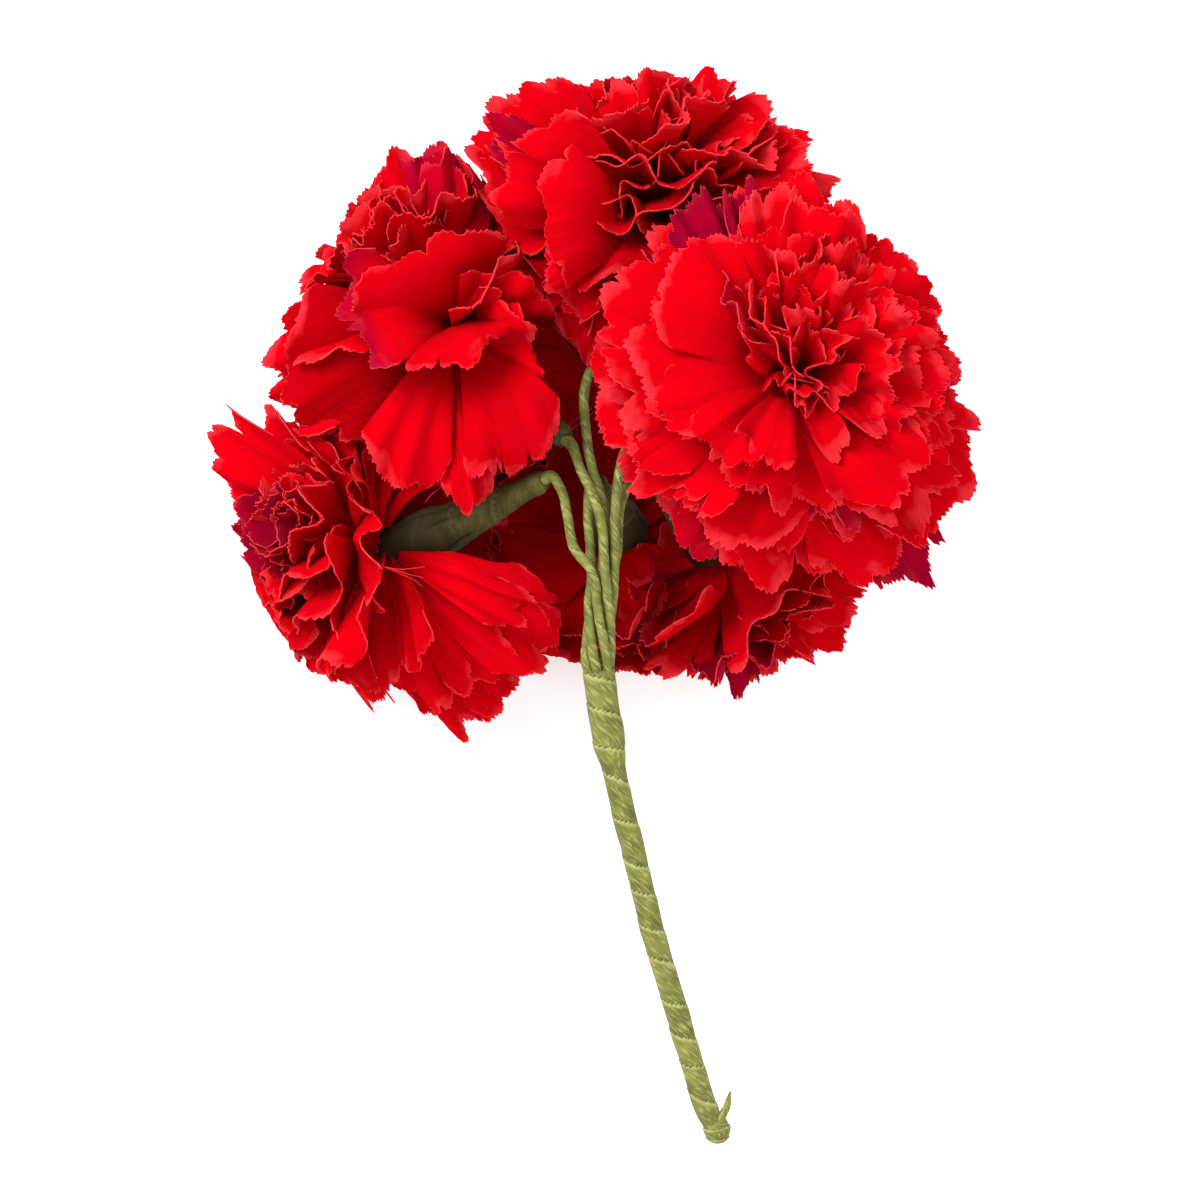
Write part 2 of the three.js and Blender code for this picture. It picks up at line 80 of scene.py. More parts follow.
# The cloth and the grid of a petal
CLOTH_THICKNESS = 0.26
CLOTH_INTERLOCK = 2.2
CLOTH_SPREAD = 20
PETAL_COLUMNS = 60
PETAL_ROWS = 8
PETAL_ROW_CROWDING = 1.4
PETAL_START = 0.1
RIM_LEAST = 0.02
DYE_RISE = 0.3
FULL_LENGTH_TILT = 80.0
HEART_TILT = 60.0
HEART_FOLD = 5.0
WAVE_ONSET = 1.6
WAVE_ONSET_GROWTH = 0.4

# The free edge of a petal: depths in millimetres, places across from -1 to 1
PETAL_ROUNDING = 0.1
CORNER_ROUNDING = 0.05
# Each scallop wave: height as a share of the length, rate across, multiple of the phase
SCALLOPS = ((0.025, 2.6 * math.pi, 1), (0.02, 7.3, 2))
TOOTH_DEPTHS = (0.3, 1.2)
TOOTH_SHARE = 0.7
TUFT_COLUMNS = (4, 9)
TUFT_DEPTHS = (0.3, 1.1)
TUFT_SQUARENESS = 2.5
LOBE_DEPTHS = (1.3, 2.5)
LOBE_SQUARENESS = 3.0
CLEFT_SPAN = 0.85
CLEFT_COUNTS = (2, 3, 4)
CLEFT_PLACES = (0.25, 0.75)
SLIT_MIDDLE_DEPTH = 0.7 * 3.8
SLIT_SIDE_DEPTH = 0.3 * 3.8

# The wires, the calyxes and the stem
WIRE_RADIUS = 0.94
WIRE_BUNDLE_RADIUS = 0.92
WIRE_TAPE_STEP = 0.08
WIRE_TAPE_PITCH = 8.6
WIRE_BURIED = 0.6
WIRE_STRAIGHT = 1.8
WIRE_THINNING = (0.35, 0.75)
WIRE_NECK_GROWTH = 0.35
WIRE_NECK_SHARES = (0.1, 0.0)
WIRE_STEPS = 150
WIRE_SIDES = 18
CALYX_TAPE_PITCH = 11.0
CALYX_STEPS = 70
CALYX_SIDES = 64
CALYX_FOLDS = 7
STEM_TAPE_PITCH = 7.6
STEM_STEPS = 268
STEM_SIDES = 36
STEM_END_NARROWING = 0.4
STEM_END_SHARES = (0.95, 1.0)
STEM_INSET = 0.1
TAPE_STEP = 0.16
TAPE_SLANT = 14
THREAD_RADIUS = 0.09
THREAD_STEPS = 24
THREAD_SIDES = 6
NO_PITCH = 100.0

# The unevenness of wound tape, and its painted highlights and shade
# Each wander of the winding: reach in turns, length along the tube in millimetres
WINDING_WANDERS = ((0.12, 5.3), (0.08, 2.1))
WINDING_PHASE = 6
# Painted highlight on the raised edge of each turn of tape, and painted shadow just before the next
# turn's edge
OVERLAP_HIGHLIGHT = 0.55
OVERLAP_TURNS = (0.14, 0.02)
EDGE_SHADOW = 0.8
SHADOW_TURNS = (0.93, 0.99)
# Shares of a calyx's length over which painted shade comes in towards its mouth
MOUTH_SHADE_SHARES = (0.3, 0.85)
# Each lump: height against the radius, number round the tube, length along it in millimetres
LUMPS = ((0.05, 2, 3.1), (0.04, 3, -1.9))
LUMP_SHARE = 0.4
FOLD_DEPTH = 0.55
FOLD_WANDER = 0.3
FOLD_STARTS = (0.3, 0.6)
FOLD_RISE = 0.25
FOLD_TWIST = 0.5
FOLD_WIDTH = 0.07

# Angles in degrees from which an edge stays sharp
PETAL_CREASE_ANGLE = 60
CALYX_CREASE_ANGLE = 55
TAPE_CREASE_ANGLE = 50

MM_IN_CM = 10
MERGE_DISTANCE = 0.00001
DENSE_STEPS = 24

Point = tuple[float, float, float]
Colour = tuple[float, float, float, float]
Pair = tuple[float, float]

UP: Point = (0, 0, 1)


class Slot(Enum):
    """Names of the material slots of the record."""

    PETAL = "petal_fabric"
    CALYX = "calyx_tape"
    TAPE = "floral_tape"


def vector(point: Point) -> np.ndarray:
    """Return a point or a direction as an array."""
    return np.array(point, dtype=float)


def unit(direction: np.ndarray) -> np.ndarray:
    """Return the direction or directions at length one."""
    return direction / np.linalg.norm(direction, axis=-1, keepdims=True)


def smooth_step(value: np.ndarray | float, low: float, high: float) -> np.ndarray:
    """Return 0 below low, 1 above high, and a smooth rise between."""
    share = np.clip((np.asarray(value) - low) / (high - low), 0, 1)
    return share * share * (3 - 2 * share)


@dataclass(frozen=True)
class Ring:
    """One ring of petals round a head's axis.

    Attributes:
        tilt: Angle of the petals' tips from the axis, in degrees.
        count: Number of petals.
        half_angle: Half the angle of each fan, in degrees.
        ruffle: How strongly the free edge waves, against the outer petals.
    """

    tilt: float
    count: int
    half_angle: float
    ruffle: float


@dataclass(frozen=True)
class OwnPetal:
    """A petal with a place of its own: it stands out, or closes a view to the table.

    Attributes:
        tip: Middle of its free edge.
        lift: Point that it rises towards before it bends to the tip.
        half_angle: Half the angle of the fan, in degrees.
        cup: How far its sides rise towards the inner face, negative for a droop.
        slits: Number of deep cuts in the free edge.
        dye: Share of purple dye.
        face: Direction that its face looks in, or none where the head's axis gives it.
        tone_and_shade: Share of deeper red: a tone of the cloth, raised as painted shade on petals that
            lie in shade.
        dye_from: Share of the length from which it is dyed.
    """

    tip: Point
    lift: Point
    half_angle: float
    cup: float = 0.0
    slits: int = 0
    dye: float = 0.0
    face: Point | None = None
    tone_and_shade: float = 0.1
    dye_from: float = 0.4


@dataclass(frozen=True)
class DyeSpot:
    """A place where the petals' ends are dyed purple.

    Attributes:
        place: Middle of the spot, seen from above.
        reach: Radius within which a petal's tip is dyed.
        strength: Share of purple.
    """

    place: Pair
    reach: float
    strength: float


@dataclass(frozen=True)
class Gap:
    """A side of a head where its rings leave petals out.

    Attributes:
        side: Direction of the side.
        low: Tilt above which petals are left out, in degrees.
        high: Tilt below which petals are left out, in degrees.
        spread: Cosine of the angle from the side within which petals are left out.
    """

    side: Point
    low: float
    high: float = 180.0
    spread: float = 0.4


@dataclass(frozen=True)
class Wall:
    """A plane that all petals of a head bend away from.

    Attributes:
        normal: Direction of the plane from the head's mouth.
        room: Distance of the plane from the mouth.
    """

    normal: Point
    room: float


@dataclass(frozen=True)
class Head:
    """One flower head with its calyx and wire.

    Attributes:
        name: Name of the head in the node names.
        mouth: Middle of the calyx's open end, where the petals start.
        neck: Middle of the calyx's thin end.
        axis: Direction that the flower faces.
        radius: Length of the longest petals.
        heart: Length of the innermost petals as a share of the longest.
        rings: Rings of petals.
        seed: Seed of the random draws.
        slot: Place of the wire in the twisted bundle, in degrees.
        wire: Free run of the wire between the neck and the bundle.
        own: Petals with a place of their own.
        dyes: Places where petals are dyed.
        threads: Loose threads, each a line of points.
        gaps: Sides where the rings leave petals out.
        walls: Planes that bound the head.
        tone_and_shade: Share of deeper red added to all its petals, as painted shade.
    """

    name: str
    mouth: Point
    neck: Point
    axis: Point
    radius: float
    heart: float
    rings: tuple[Ring, ...]
    seed: int
    slot: float
    wire: tuple[Point, ...]
    own: tuple[OwnPetal, ...] = ()
    dyes: tuple[DyeSpot, ...] = ()
    threads: tuple[tuple[Point, ...], ...] = ()
    gaps: tuple[Gap, ...] = ()
    walls: tuple[Wall, ...] = ()
    tone_and_shade: float = 0.0


OPEN_RINGS = (
    Ring(8, 4, 24, 1.5),
    Ring(22, 5, 26, 1.4),
    Ring(36, 7, 26, 1.3),
    Ring(50, 8, 27, 1.15),
    Ring(64, 8, 28, 1.0),
    Ring(78, 8, 28, 1.0),
    Ring(91, 8, 28, 0.9),
    Ring(104, 7, 28, 0.8),
)
FULL_RINGS = (*OPEN_RINGS[:-1], Ring(106, 7, 28, 0.8), Ring(124, 6, 28, 0.8))
DENSE_RINGS = (
    Ring(9, 4, 25, 1.6),
    Ring(21, 6, 25, 1.6),
    Ring(34, 8, 24, 1.5),
    Ring(47, 9, 24, 1.4),
    Ring(59, 10, 24, 1.3),
    Ring(70, 10, 24, 1.2),
    Ring(80, 10, 25, 1.1),
    Ring(91, 9, 25, 0.9),
    Ring(105, 7, 28, 0.8),
)
CLOSE_RINGS = (
    Ring(8, 4, 24, 1.4),
    Ring(26, 6, 26, 1.3),
    Ring(44, 7, 27, 1.1),
    Ring(62, 8, 28, 1.0),
    Ring(80, 8, 28, 0.9),
    Ring(98, 8, 28, 0.7),
)

HEADS = (
    Head(
        name="right",
        mouth=(36.8, 44, 62),
        neck=(20.7, 35.5, 52),
        axis=(0.2, 0.2, 0.96),
        radius=38.5,
        heart=0.62,
        rings=DENSE_RINGS,
        seed=11,
        slot=20,
        wire=((12, 33.4, 51), (6.1, 31.5, 54), (4.4, 25.9, 56.6), (3.7, 18.3, 57.4), (3.6, 11.9, 57.3)),
        own=(
            OwnPetal((13.5, 67, 84), (27.5, 54, 94), 24),
            OwnPetal((0.5, 60.5, 73), (22, 51.5, 83), 28, -2, 1),
            OwnPetal((6.5, 51, 82), (24.5, 47.5, 92), 30, 3),
            OwnPetal((-3, 46.5, 67), (20.5, 45.5, 77), 28, -2),
            OwnPetal((10.5, 40.5, 86), (26, 43, 96), 20, 2),
            OwnPetal((3, 35, 74), (23, 40.5, 84), 26),
            OwnPetal((9.5, 26, 76), (26, 37, 86), 30, 3, 1),
            OwnPetal((21, 30.5, 87), (30.5, 38.5, 97), 20, 3),
            OwnPetal((28, 22.5, 82), (33.5, 35.5, 92), 22, -2),
            OwnPetal((31.5, 28, 91), (35, 37.5, 101), 15, -2),
            OwnPetal((40, 18, 80), (38.5, 33.5, 90), 24, -3),
            OwnPetal((27, 13.5, 66), (33, 31.5, 76), 32, 2, 1),
            OwnPetal((20.5, 9, 57), (30.5, 29.5, 71), 24, 0, 0, 0.4),
            OwnPetal((36.5, 4.5, 56), (37, 28, 70.5), 24, 2, 1),
            OwnPetal((60.5, 22.5, 80), (47, 35.5, 90), 26, 5),
            OwnPetal((52, 16, 70), (43.5, 32.5, 80), 14, 0, 0, 0.6),
            OwnPetal((65.5, 5, 48), (49, 28.5, 66.5), 12, 0, 1, 0.9),
            OwnPetal((57, 6.5, 56), (45.5, 28.5, 72.5), 20),
            OwnPetal((72, 18.5, 57), (52, 34, 71.5), 24, 2),
            OwnPetal((74, 30.5, 60), (53, 39, 72.5), 22, -2, 1),
            OwnPetal((11.5, 74.5, 64), (26.5, 57.5, 74.5), 11, 0, 0, 0.95),
            OwnPetal((18.5, 81, 66), (29.5, 60, 76), 15, 0, 1, 1.0),
            OwnPetal((29, 84, 66), (34, 61, 76), 11, 0, 0, 1.0),
            OwnPetal((42, 84.5, 64), (39.5, 61.5, 74.5), 24, 0, 1),
            OwnPetal((35, 82.5, 68), (36.5, 60.5, 78), 16, 2),
            OwnPetal((57, 76.5, 60), (47, 60, 72), 16, -2),
            OwnPetal((25, 61, 89.5), (32, 52, 84), 24, 3, 0, 0.6, face=(-0.85, -0.45, 0.3), dye_from=0.7),
            OwnPetal((29.5, 58, 92.5), (34, 50, 85), 24, -3, 1, face=(-0.85, -0.45, 0.25)),
            OwnPetal((35, 55, 94), (36, 49, 86), 22, 3, face=(-0.85, -0.45, 0.2)),
        ),
        gaps=(Gap((-0.75, -0.66, 0), 26, 84, 0.1), Gap((-0.75, -0.66, 0), 15, 26, 0.45)),
        walls=(Wall((0.78, 0.63, 0), 43), Wall((1, 0.1, 0), 56)),
    ),
    Head(
        name="top",
        mouth=(10.8, 73.8, 29),
        neck=(2.7, 54.5, 43),
        axis=(-0.05, 0.85, 0.52),
        radius=39,
        heart=0.86,
        rings=FULL_RINGS,
        seed=23,
        slot=260,
        wire=((-2.2, 44.5, 48), (-1.9, 33.5, 50.6), (-0.7, 27.1, 52), (0.9, 22.1, 53), (1.4, 15, 53.8)),
        own=(
            OwnPetal((-11, 76, 62), (2, 78, 76), 30, -3, 1, face=(-0.3, 0, 0.95)),
            OwnPetal((-9, 63, 57), (2, 69, 68), 24, -2, 1, face=(0.1, -0.2, 0.9)),
            OwnPetal((-9, 52, 50), (2, 64, 62), 21, -2, 1, face=(0.2, -0.3, 0.9)),
            OwnPetal((-18, 89, 56), (0, 84, 64), 24, 3, 1, face=(-0.2, 0, 0.9)),
            OwnPetal((-23.5, 94, 44), (-5, 84, 54), 24, 2, face=(-0.2, 0.3, 0.9)),
            OwnPetal((-22.5, 100, 45), (-4, 87, 55), 18, face=(-0.2, 0.3, 0.9)),
            OwnPetal((-17.5, 101.5, 48), (-1, 87, 58), 22, -2, face=(-0.1, 0.3, 0.9)),
            OwnPetal((-24.5, 86.5, 44), (-5, 81, 54), 24, -2, face=(-0.2, 0.3, 0.9)),
            OwnPetal((-22, 95.5, 51), (-3, 85, 60), 10, 1, 0, 0.8, face=(-0.1, 0.3, 0.9), dye_from=0.6),
            OwnPetal((43.5, 88.5, 46), (24.5, 81.5, 54), 22, 2),
            OwnPetal((36, 97.5, 42), (21, 85.5, 50), 20, -2),
            OwnPetal((6.5, 108, 44), (9, 89.5, 52), 15, 0, 1),
            OwnPetal((-8, 105, 44), (2.5, 88.5, 52), 16),
            OwnPetal((21, 107.5, 42), (15, 89.5, 50), 12),
            OwnPetal((0, 47, 46), (6, 64, 60), 20, face=UP),
            OwnPetal((-2, 40, 24), (-4, 66, 14), 28, face=UP),
        ),
        walls=(Wall((0, 1, 0), 44),),
    ),
    Head(
        name="upper_left",
        mouth=(-27.3, 54.5, 32.5),
        neck=(-6.1, 33.5, 51),
        axis=(-0.42, 0.87, 0.26),
        radius=39,
        heart=0.88,
        rings=FULL_RINGS,
        seed=37,
        slot=80,
        wire=((-3.1, 27.3, 55), (-0.3, 21.3, 57.6), (1.1, 15.7, 59)),
        own=(
            OwnPetal((-36, 71, 67), (-29, 58, 62), 38, 6, 1),
            OwnPetal((-14, 70, 64), (-22, 58, 62), 28, 5, 1),
            OwnPetal((-12, 65, 59), (-20, 59, 69), 28, 2, 2, face=(0.45, -0.1, 0.9)),
            OwnPetal((-13, 54, 62), (-21, 56, 68), 24, 3, 1, face=(0.3, -0.2, 0.9)),
            OwnPetal((-25, 49, 66), (-26, 57, 72), 28, 3, 2),
            # The next two petals are set darker as painted shade: they lie in the dark between the heads
            # or tilt away from the light
            OwnPetal((-14, 26, 56), (-19, 46, 72), 20, -1, 3, face=(0, -0.3, 0.95), tone_and_shade=0.3),
            OwnPetal((-63, 42, 42), (-43, 55, 60), 32, -3, face=(-0.3, -0.3, 0.9), tone_and_shade=0.7),
            OwnPetal((-51, 57, 58), (-35, 62, 70), 28, -2, 1, 0.95, face=(0.3, 0.3, 0.85), dye_from=0.74),
            OwnPetal((-40, 24, 51), (-34, 43, 66), 17, 2, face=(0, -0.2, 0.9)),
            OwnPetal((-24.5, 18.5, 52), (-28, 40, 62), 9, face=(0, -0.2, 0.9)),
            OwnPetal((-8, 24, 22), (-26, 40, 12), 32, face=UP),
            OwnPetal((7, 41, 20), (-12, 46, 12), 32, face=UP),
            OwnPetal((1, 32, 18), (-16, 42, 11), 30, face=UP),
            OwnPetal((-47, 27, 32), (-40, 44, 46), 26, face=(0, -0.2, 0.9)),
            OwnPetal((-30, 22, 24), (-30, 40, 12), 26, face=UP),
            OwnPetal((-68, 51, 40), (-46, 54, 52), 18, 2, face=(-0.3, -0.1, 0.9)),
            OwnPetal((-66, 41.5, 38), (-45, 49, 50), 18, -2, face=(-0.3, -0.1, 0.9)),
            # Set darker as painted shade: a low petal under the head
            OwnPetal((-57, 68, 30), (-42, 62, 22), 30, face=UP, tone_and_shade=0.5),
            OwnPetal((-40, 91.5, 38), (-33, 74, 48), 20, 2, face=(-0.2, 0.4, 0.9)),
            OwnPetal((-33.5, 93.5, 40), (-30, 75, 50), 18, -2, 0, 0.85, face=(0, 0.4, 0.9)),
            OwnPetal((-27, 92, 42), (-27, 74, 52), 16, 2, 0, 0.6, face=(0.1, 0.4, 0.9)),
        ),
        dyes=(DyeSpot((-31, 90), 5, 0.45),),
        threads=(
            ((-31, 29, 50), (-32.5, 24.5, 50), (-34.5, 24, 49), (-37.3, 26.2, 48)),
            ((-28.5, 24, 48), (-30.5, 24.2, 49), (-32.8, 22.6, 49), (-34.2, 21, 48)),
        ),
        gaps=(Gap((0, 0, 1), 48),),
        walls=(Wall((-0.9, 0.43, 0), 42),),
    ),
    Head(
        name="lower_left",
        mouth=(-40.3, 11.1, 26.4),
        neck=(-10.3, 25.5, 50),
        axis=(-0.83, 0.2, 0.52),
        radius=36.5,
        heart=0.88,
        rings=FULL_RINGS,
        seed=41,
        slot=140,
        wire=((-6.8, 22.8, 53), (-5.7, 18, 54.5), (-4.5, 12, 55.5)),
        own=(
            OwnPetal((-4, -2, 43), (-27, 1, 57), 24, -3, 1, face=(0.2, -0.5, 0.85)),
            OwnPetal((-49, -10, 58), (-46, 4, 60), 25, 4, 1),
            OwnPetal((-35, -12, 51), (-37, 2, 58), 14, 3),
            OwnPetal((-9, -8, 41), (-28, -2, 54), 16, 3, 1, face=(0.1, -0.4, 0.9)),
            OwnPetal((-13, 1, 49), (-28, 5, 60), 14, 4, 1, face=(0.2, -0.2, 0.9)),
            OwnPetal((-8, -11, 30), (-29, -4, 44), 20, -2, 2, face=(0, -0.3, 0.9)),
            OwnPetal((-12.5, -12, 27), (-30, -4, 42), 17, 2, face=(0, -0.3, 0.9)),
            OwnPetal((-19.5, -20, 27), (-33, -7, 42), 16, -2, face=(0, -0.3, 0.9)),
            OwnPetal((-25, -25, 25), (-36, -9, 42), 13, 2, face=(0, -0.3, 0.9)),
            # Set darker as painted shade: a low petal under the head
            OwnPetal((-44, -2, 15), (-43, 5, 20), 60, face=UP, tone_and_shade=0.9),
            OwnPetal((-19, -14, 38), (-33, -3, 50), 16, 2, 1, face=(0, -0.3, 0.9)),
            OwnPetal((-29, -19, 37), (-38, -5, 50), 16, -2, face=(0, -0.3, 0.9)),
            OwnPetal((-14, 12, 20), (-30, 8, 12), 34, face=UP),
            OwnPetal((-22, 30, 18), (-35, 16, 12), 34, face=UP),
            # Set darker as painted shade: a low petal under the head
            OwnPetal((-45, 33, 15), (-42, 22, 11), 36, face=UP, tone_and_shade=0.8),
            OwnPetal((-78, 37, 35), (-60, 27, 46), 18, 4, 1, tone_and_shade=0),
            OwnPetal((-75, 27, 29), (-60, 20, 42), 18, -3),
            OwnPetal((-66, 41, 38), (-56, 30, 50), 20, -3),
        ),
        dyes=(DyeSpot((-68.5, 17), 7.5, 0.9),),
        threads=(
            ((-42.5, 8.2, 56), (-39, 6.8, 56.5), (-36, 5.4, 56), (-34.7, 4.2, 55)),
            ((-42.5, 8.2, 56), (-39, 7.2, 57), (-36, 6.3, 57), (-34.3, 5.9, 56)),
            ((-42.5, 8.2, 56), (-39, 7.6, 57), (-36, 7.8, 57.5), (-34, 8.1, 57)),
        ),
        gaps=(Gap((0.5, 0.15, 0.85), 60),),
        walls=(
            Wall((-0.45, -0.9, 0), 38),
            Wall((-0.82, -0.57, 0), 38),
            Wall((-0.94, -0.34, 0), 37),
        ),
    ),
    Head(
        name="lower_centre",
        mouth=(4.5, 15, 26),
        neck=(-0.2, 25, 46),
        axis=(-0.04, -0.5, -0.86),
        radius=31,
        heart=0.9,
        rings=CLOSE_RINGS,
        seed=53,
        slot=200,
        wire=((-1.4, 23.6, 50.4), (-1.7, 18, 52.4), (-1.2, 11.9, 54)),
        own=(
            OwnPetal((9, -14, 22), (6.5, 2, 24.5), 20),
            OwnPetal((15.5, -11.5, 25), (9, 3, 27), 16),
            OwnPetal((15, 6, 36), (9, 10.5, 40), 28),
            OwnPetal((11, -3, 32), (7, 6.5, 36), 28),
            # These three low petals deep under the heads are set darkest as painted shade
            OwnPetal((-1, 45, 17), (1, 29, 13), 36, face=UP, tone_and_shade=1.0),
            OwnPetal((-11, 36, 16), (-4, 25, 12), 36, face=UP, tone_and_shade=1.0),
            OwnPetal((-31, 29, 16), (-12, 22, 12), 40, face=UP, tone_and_shade=1.0),
        ),
        walls=(Wall((-0.33, -0.944, 0), 33),),
        # Deeper red on all this head's petals, which lie in the shade of the heads above: painted shade
        tone_and_shade=0.75,
    ),
    Head(
        name="lower_right",
        mouth=(23.5, 13.5, 28.8),
        neck=(11.1, 27.5, 48),
        axis=(0.4, -0.6, -0.69),
        radius=31,
        heart=0.9,
        rings=CLOSE_RINGS,
        seed=67,
        slot=320,
        wire=((8.7, 27.9, 51), (6.4, 24.5, 52.8), (4.9, 20.7, 54), (4.3, 16.1, 54.5), (4.1, 11, 54.5)),
        own=(
            OwnPetal((29.5, -17.5, 20), (27, -0.5, 25.5), 12, 0, 0, 0.9),
            OwnPetal((54.5, 1.5, 32), (37, 7.5, 38), 24, 2, 1),
            OwnPetal((51, -6.5, 27), (35.5, 4, 31), 20, -2),
        ),
        dyes=(DyeSpot((29, -13), 7, 0.9),),
        # A little deeper red on all its petals: painted shade
        tone_and_shade=0.1,
    ),
)


@dataclass(frozen=True)
class Parting:
    """A plane of its own between two heads that lie over and under each other.

    Attributes:
        first: Name of the head on the near side.
        second: Name of the head that the normal points to.
        normal: Normal of the plane.
        share: Share of the room that the first head has.
    """

    first: str
    second: str
    normal: Point
    share: float


PARTINGS = (
    Parting("lower_left", "lower_centre", (0.6, 0, -0.8), 0.56),
    Parting("top", "upper_left", (-0.85, -0.52, -0.05), 0.56),
    Parting("lower_centre", "lower_right", (0.85, 0, 0.5), 0.5),
    Parting("upper_left", "lower_left", (-0.4, -0.7, -0.6), 0.54),
    Parting("right", "lower_right", (-0.1, -0.2, -0.97), 0.45),
    Parting("right", "top", (-0.3, 0.5, -0.81), 0.5),
)

BUNDLE_LINE = ((1.3, 6.5, 56), (0.8, 0.5, 55.7), (0.5, -5.5, 55.2), (0.3, -11.6, 54.6))
BUNDLE_END = (0.9, -16, 54.2)
STEM_LINE = (
    (0.4, -12.5, 54.4),
    (1.9, -23.1, 53.6),
    (4.5, -36.9, 52),
    (7.9, -50.7, 49.6),
    (11.2, -64.5, 46.4),
    (15.3, -78.3, 42.6),
    (18.7, -90, 39.2),
    (22.6, -102.3, 35.6),
)
STEM_END = (23.9, -105.0, 34.8)
COLLAR_END = 0.11
COLLAR_TAPER = 0.1
COLLAR_EDGE = 0.03
KNOB_LINE = ((23.4, -102.6, 35.3), (24.3, -105.3, 34.6), (25.1, -108.0, 33.9))
KNOB_RADIUS = 2.6
KNOB_STEPS = 40
KNOB_SIDES = 30
KNOB_TAPE_PITCH = 2.1
KNOB_TAPE_STEP = 0.35
KNOB_FULLNESS = 0.97
TAIL_LINE = (
    (24.2, -105.0, 35.8),
    (24.9, -103.2, 36.6),
    (26.2, -100.4, 37.4),
    (26.7, -98.4, 37.7),
    (26.9, -97.2, 37.8),
)
TAIL_WIDTH = 1.5
TAIL_BASE = 0.75
TAIL_BELLY = 0.45
TAIL_POINT = 0.75
TAIL_FLATNESS = 0.28
TAIL_STEPS = 24
TAIL_SIDES = 14
TAIL_TAPE_PITCH = 40.0


class NodeSheet:
    """A material's node tree, with short calls that add and link nodes."""

    def __init__(self, name: str) -> None:
        """Start a material with an empty tree and one surface shader.

        Args:
            name: Name of the material.
        """
        self.material = bpy.data.materials.new(name)
        self.material.use_nodes = True
        self.nodes = self.material.node_tree.nodes
        self.links = self.material.node_tree.links
        self.shader = self.nodes["Principled BSDF"]

    def add(self, kind: str, **settings: object) -> bpy.types.Node:
        """Add a node and set its properties.

        Args:
            kind: Node type name.
            settings: Properties of the node by name.

        Returns:
            The new node.
        """
        node = self.nodes.new(kind)
        for key, value in settings.items():
            setattr(node, key, value)
        return node

    def feed(self, socket: bpy.types.NodeSocket, source: object) -> None:
        """Link a socket to a source, or set it to a plain value."""
        if isinstance(source, bpy.types.NodeSocket):
            self.links.new(source, socket)
        else:
            socket.default_value = source

    def surface(self, **inputs: object) -> None:
        """Set or link inputs of the surface shader, each named with _ for a space."""
        for name, source in inputs.items():
            self.feed(self.shader.inputs[name.replace("_", " ")], source)

    def math(self, operation: str, *sources: object) -> bpy.types.NodeSocket:
        """Return the result of a math node on the sources."""
        node = self.add("ShaderNodeMath", operation=operation)
        for socket, source in zip(node.inputs, sources):
            self.feed(socket, source)
        return node.outputs[0]

    def times(self, value: object, factor: object) -> bpy.types.NodeSocket:
        """Return a value times a factor."""
        return self.math("MULTIPLY", value, factor)

    def plus(self, value: object, other: object) -> bpy.types.NodeSocket:
        """Return the sum of two values."""
        return self.math("ADD", value, other)

    def mix(self, share: object, first: object, second: object) -> bpy.types.NodeSocket:
        """Return a colour mixed from two others by a share."""
        node = self.add("ShaderNodeMix", data_type="RGBA")
        self.feed(node.inputs["Factor"], share)
        self.feed(node.inputs["A"], first)
        self.feed(node.inputs["B"], second)
        return node.outputs["Result"]

    def attribute(self, name: str) -> bpy.types.NodeSocket:
        """Return the value of a mesh attribute."""
        return self.add("ShaderNodeAttribute", attribute_name=name).outputs["Fac"]

    def stretched(self, place: bpy.types.NodeSocket, scale: Point) -> bpy.types.NodeSocket:
        """Return a place scaled by a factor along each axis."""
        node = self.add("ShaderNodeMapping")
        self.feed(node.inputs["Vector"], place)
        node.inputs["Scale"].default_value = scale
        return node.outputs["Vector"]

    def noise(
        self, place: bpy.types.NodeSocket, scale: float, detail: float = 3.0
    ) -> bpy.types.NodeSocket:
        """Return a noise value at a place.

        Args:
            place: Where the noise is read.
            scale: Number of blotches to a unit of the place.
            detail: Number of finer layers.

        Returns:
            The noise value, round 0.5.
        """
        node = self.add("ShaderNodeTexNoise")
        self.feed(node.inputs["Vector"], place)
        node.inputs["Scale"].default_value = scale
        node.inputs["Detail"].default_value = detail
        return node.outputs["Fac"]

    def ramp(self, value: bpy.types.NodeSocket, low: float, high: float) -> bpy.types.NodeSocket:
        """Return the value stretched so that low gives 0 and high gives 1."""
        node = self.add("ShaderNodeMapRange")
        self.feed(node.inputs["Value"], value)
        node.inputs["From Min"].default_value = low
        node.inputs["From Max"].default_value = high
        return node.outputs["Result"]

    def bump(self, height: bpy.types.NodeSocket, strength: float, distance: float) -> None:
        """Drive the shader's normal by a height.

        Args:
            height: Height from 0 to 1.
            strength: Share of the relief that shows.
            distance: Height of the relief in metres.
        """
        node = self.add("ShaderNodeBump")
        node.inputs["Strength"].default_value = strength
        node.inputs["Distance"].default_value = distance
        self.feed(node.inputs["Height"], height)
        self.links.new(node.outputs["Normal"], self.shader.inputs["Normal"])


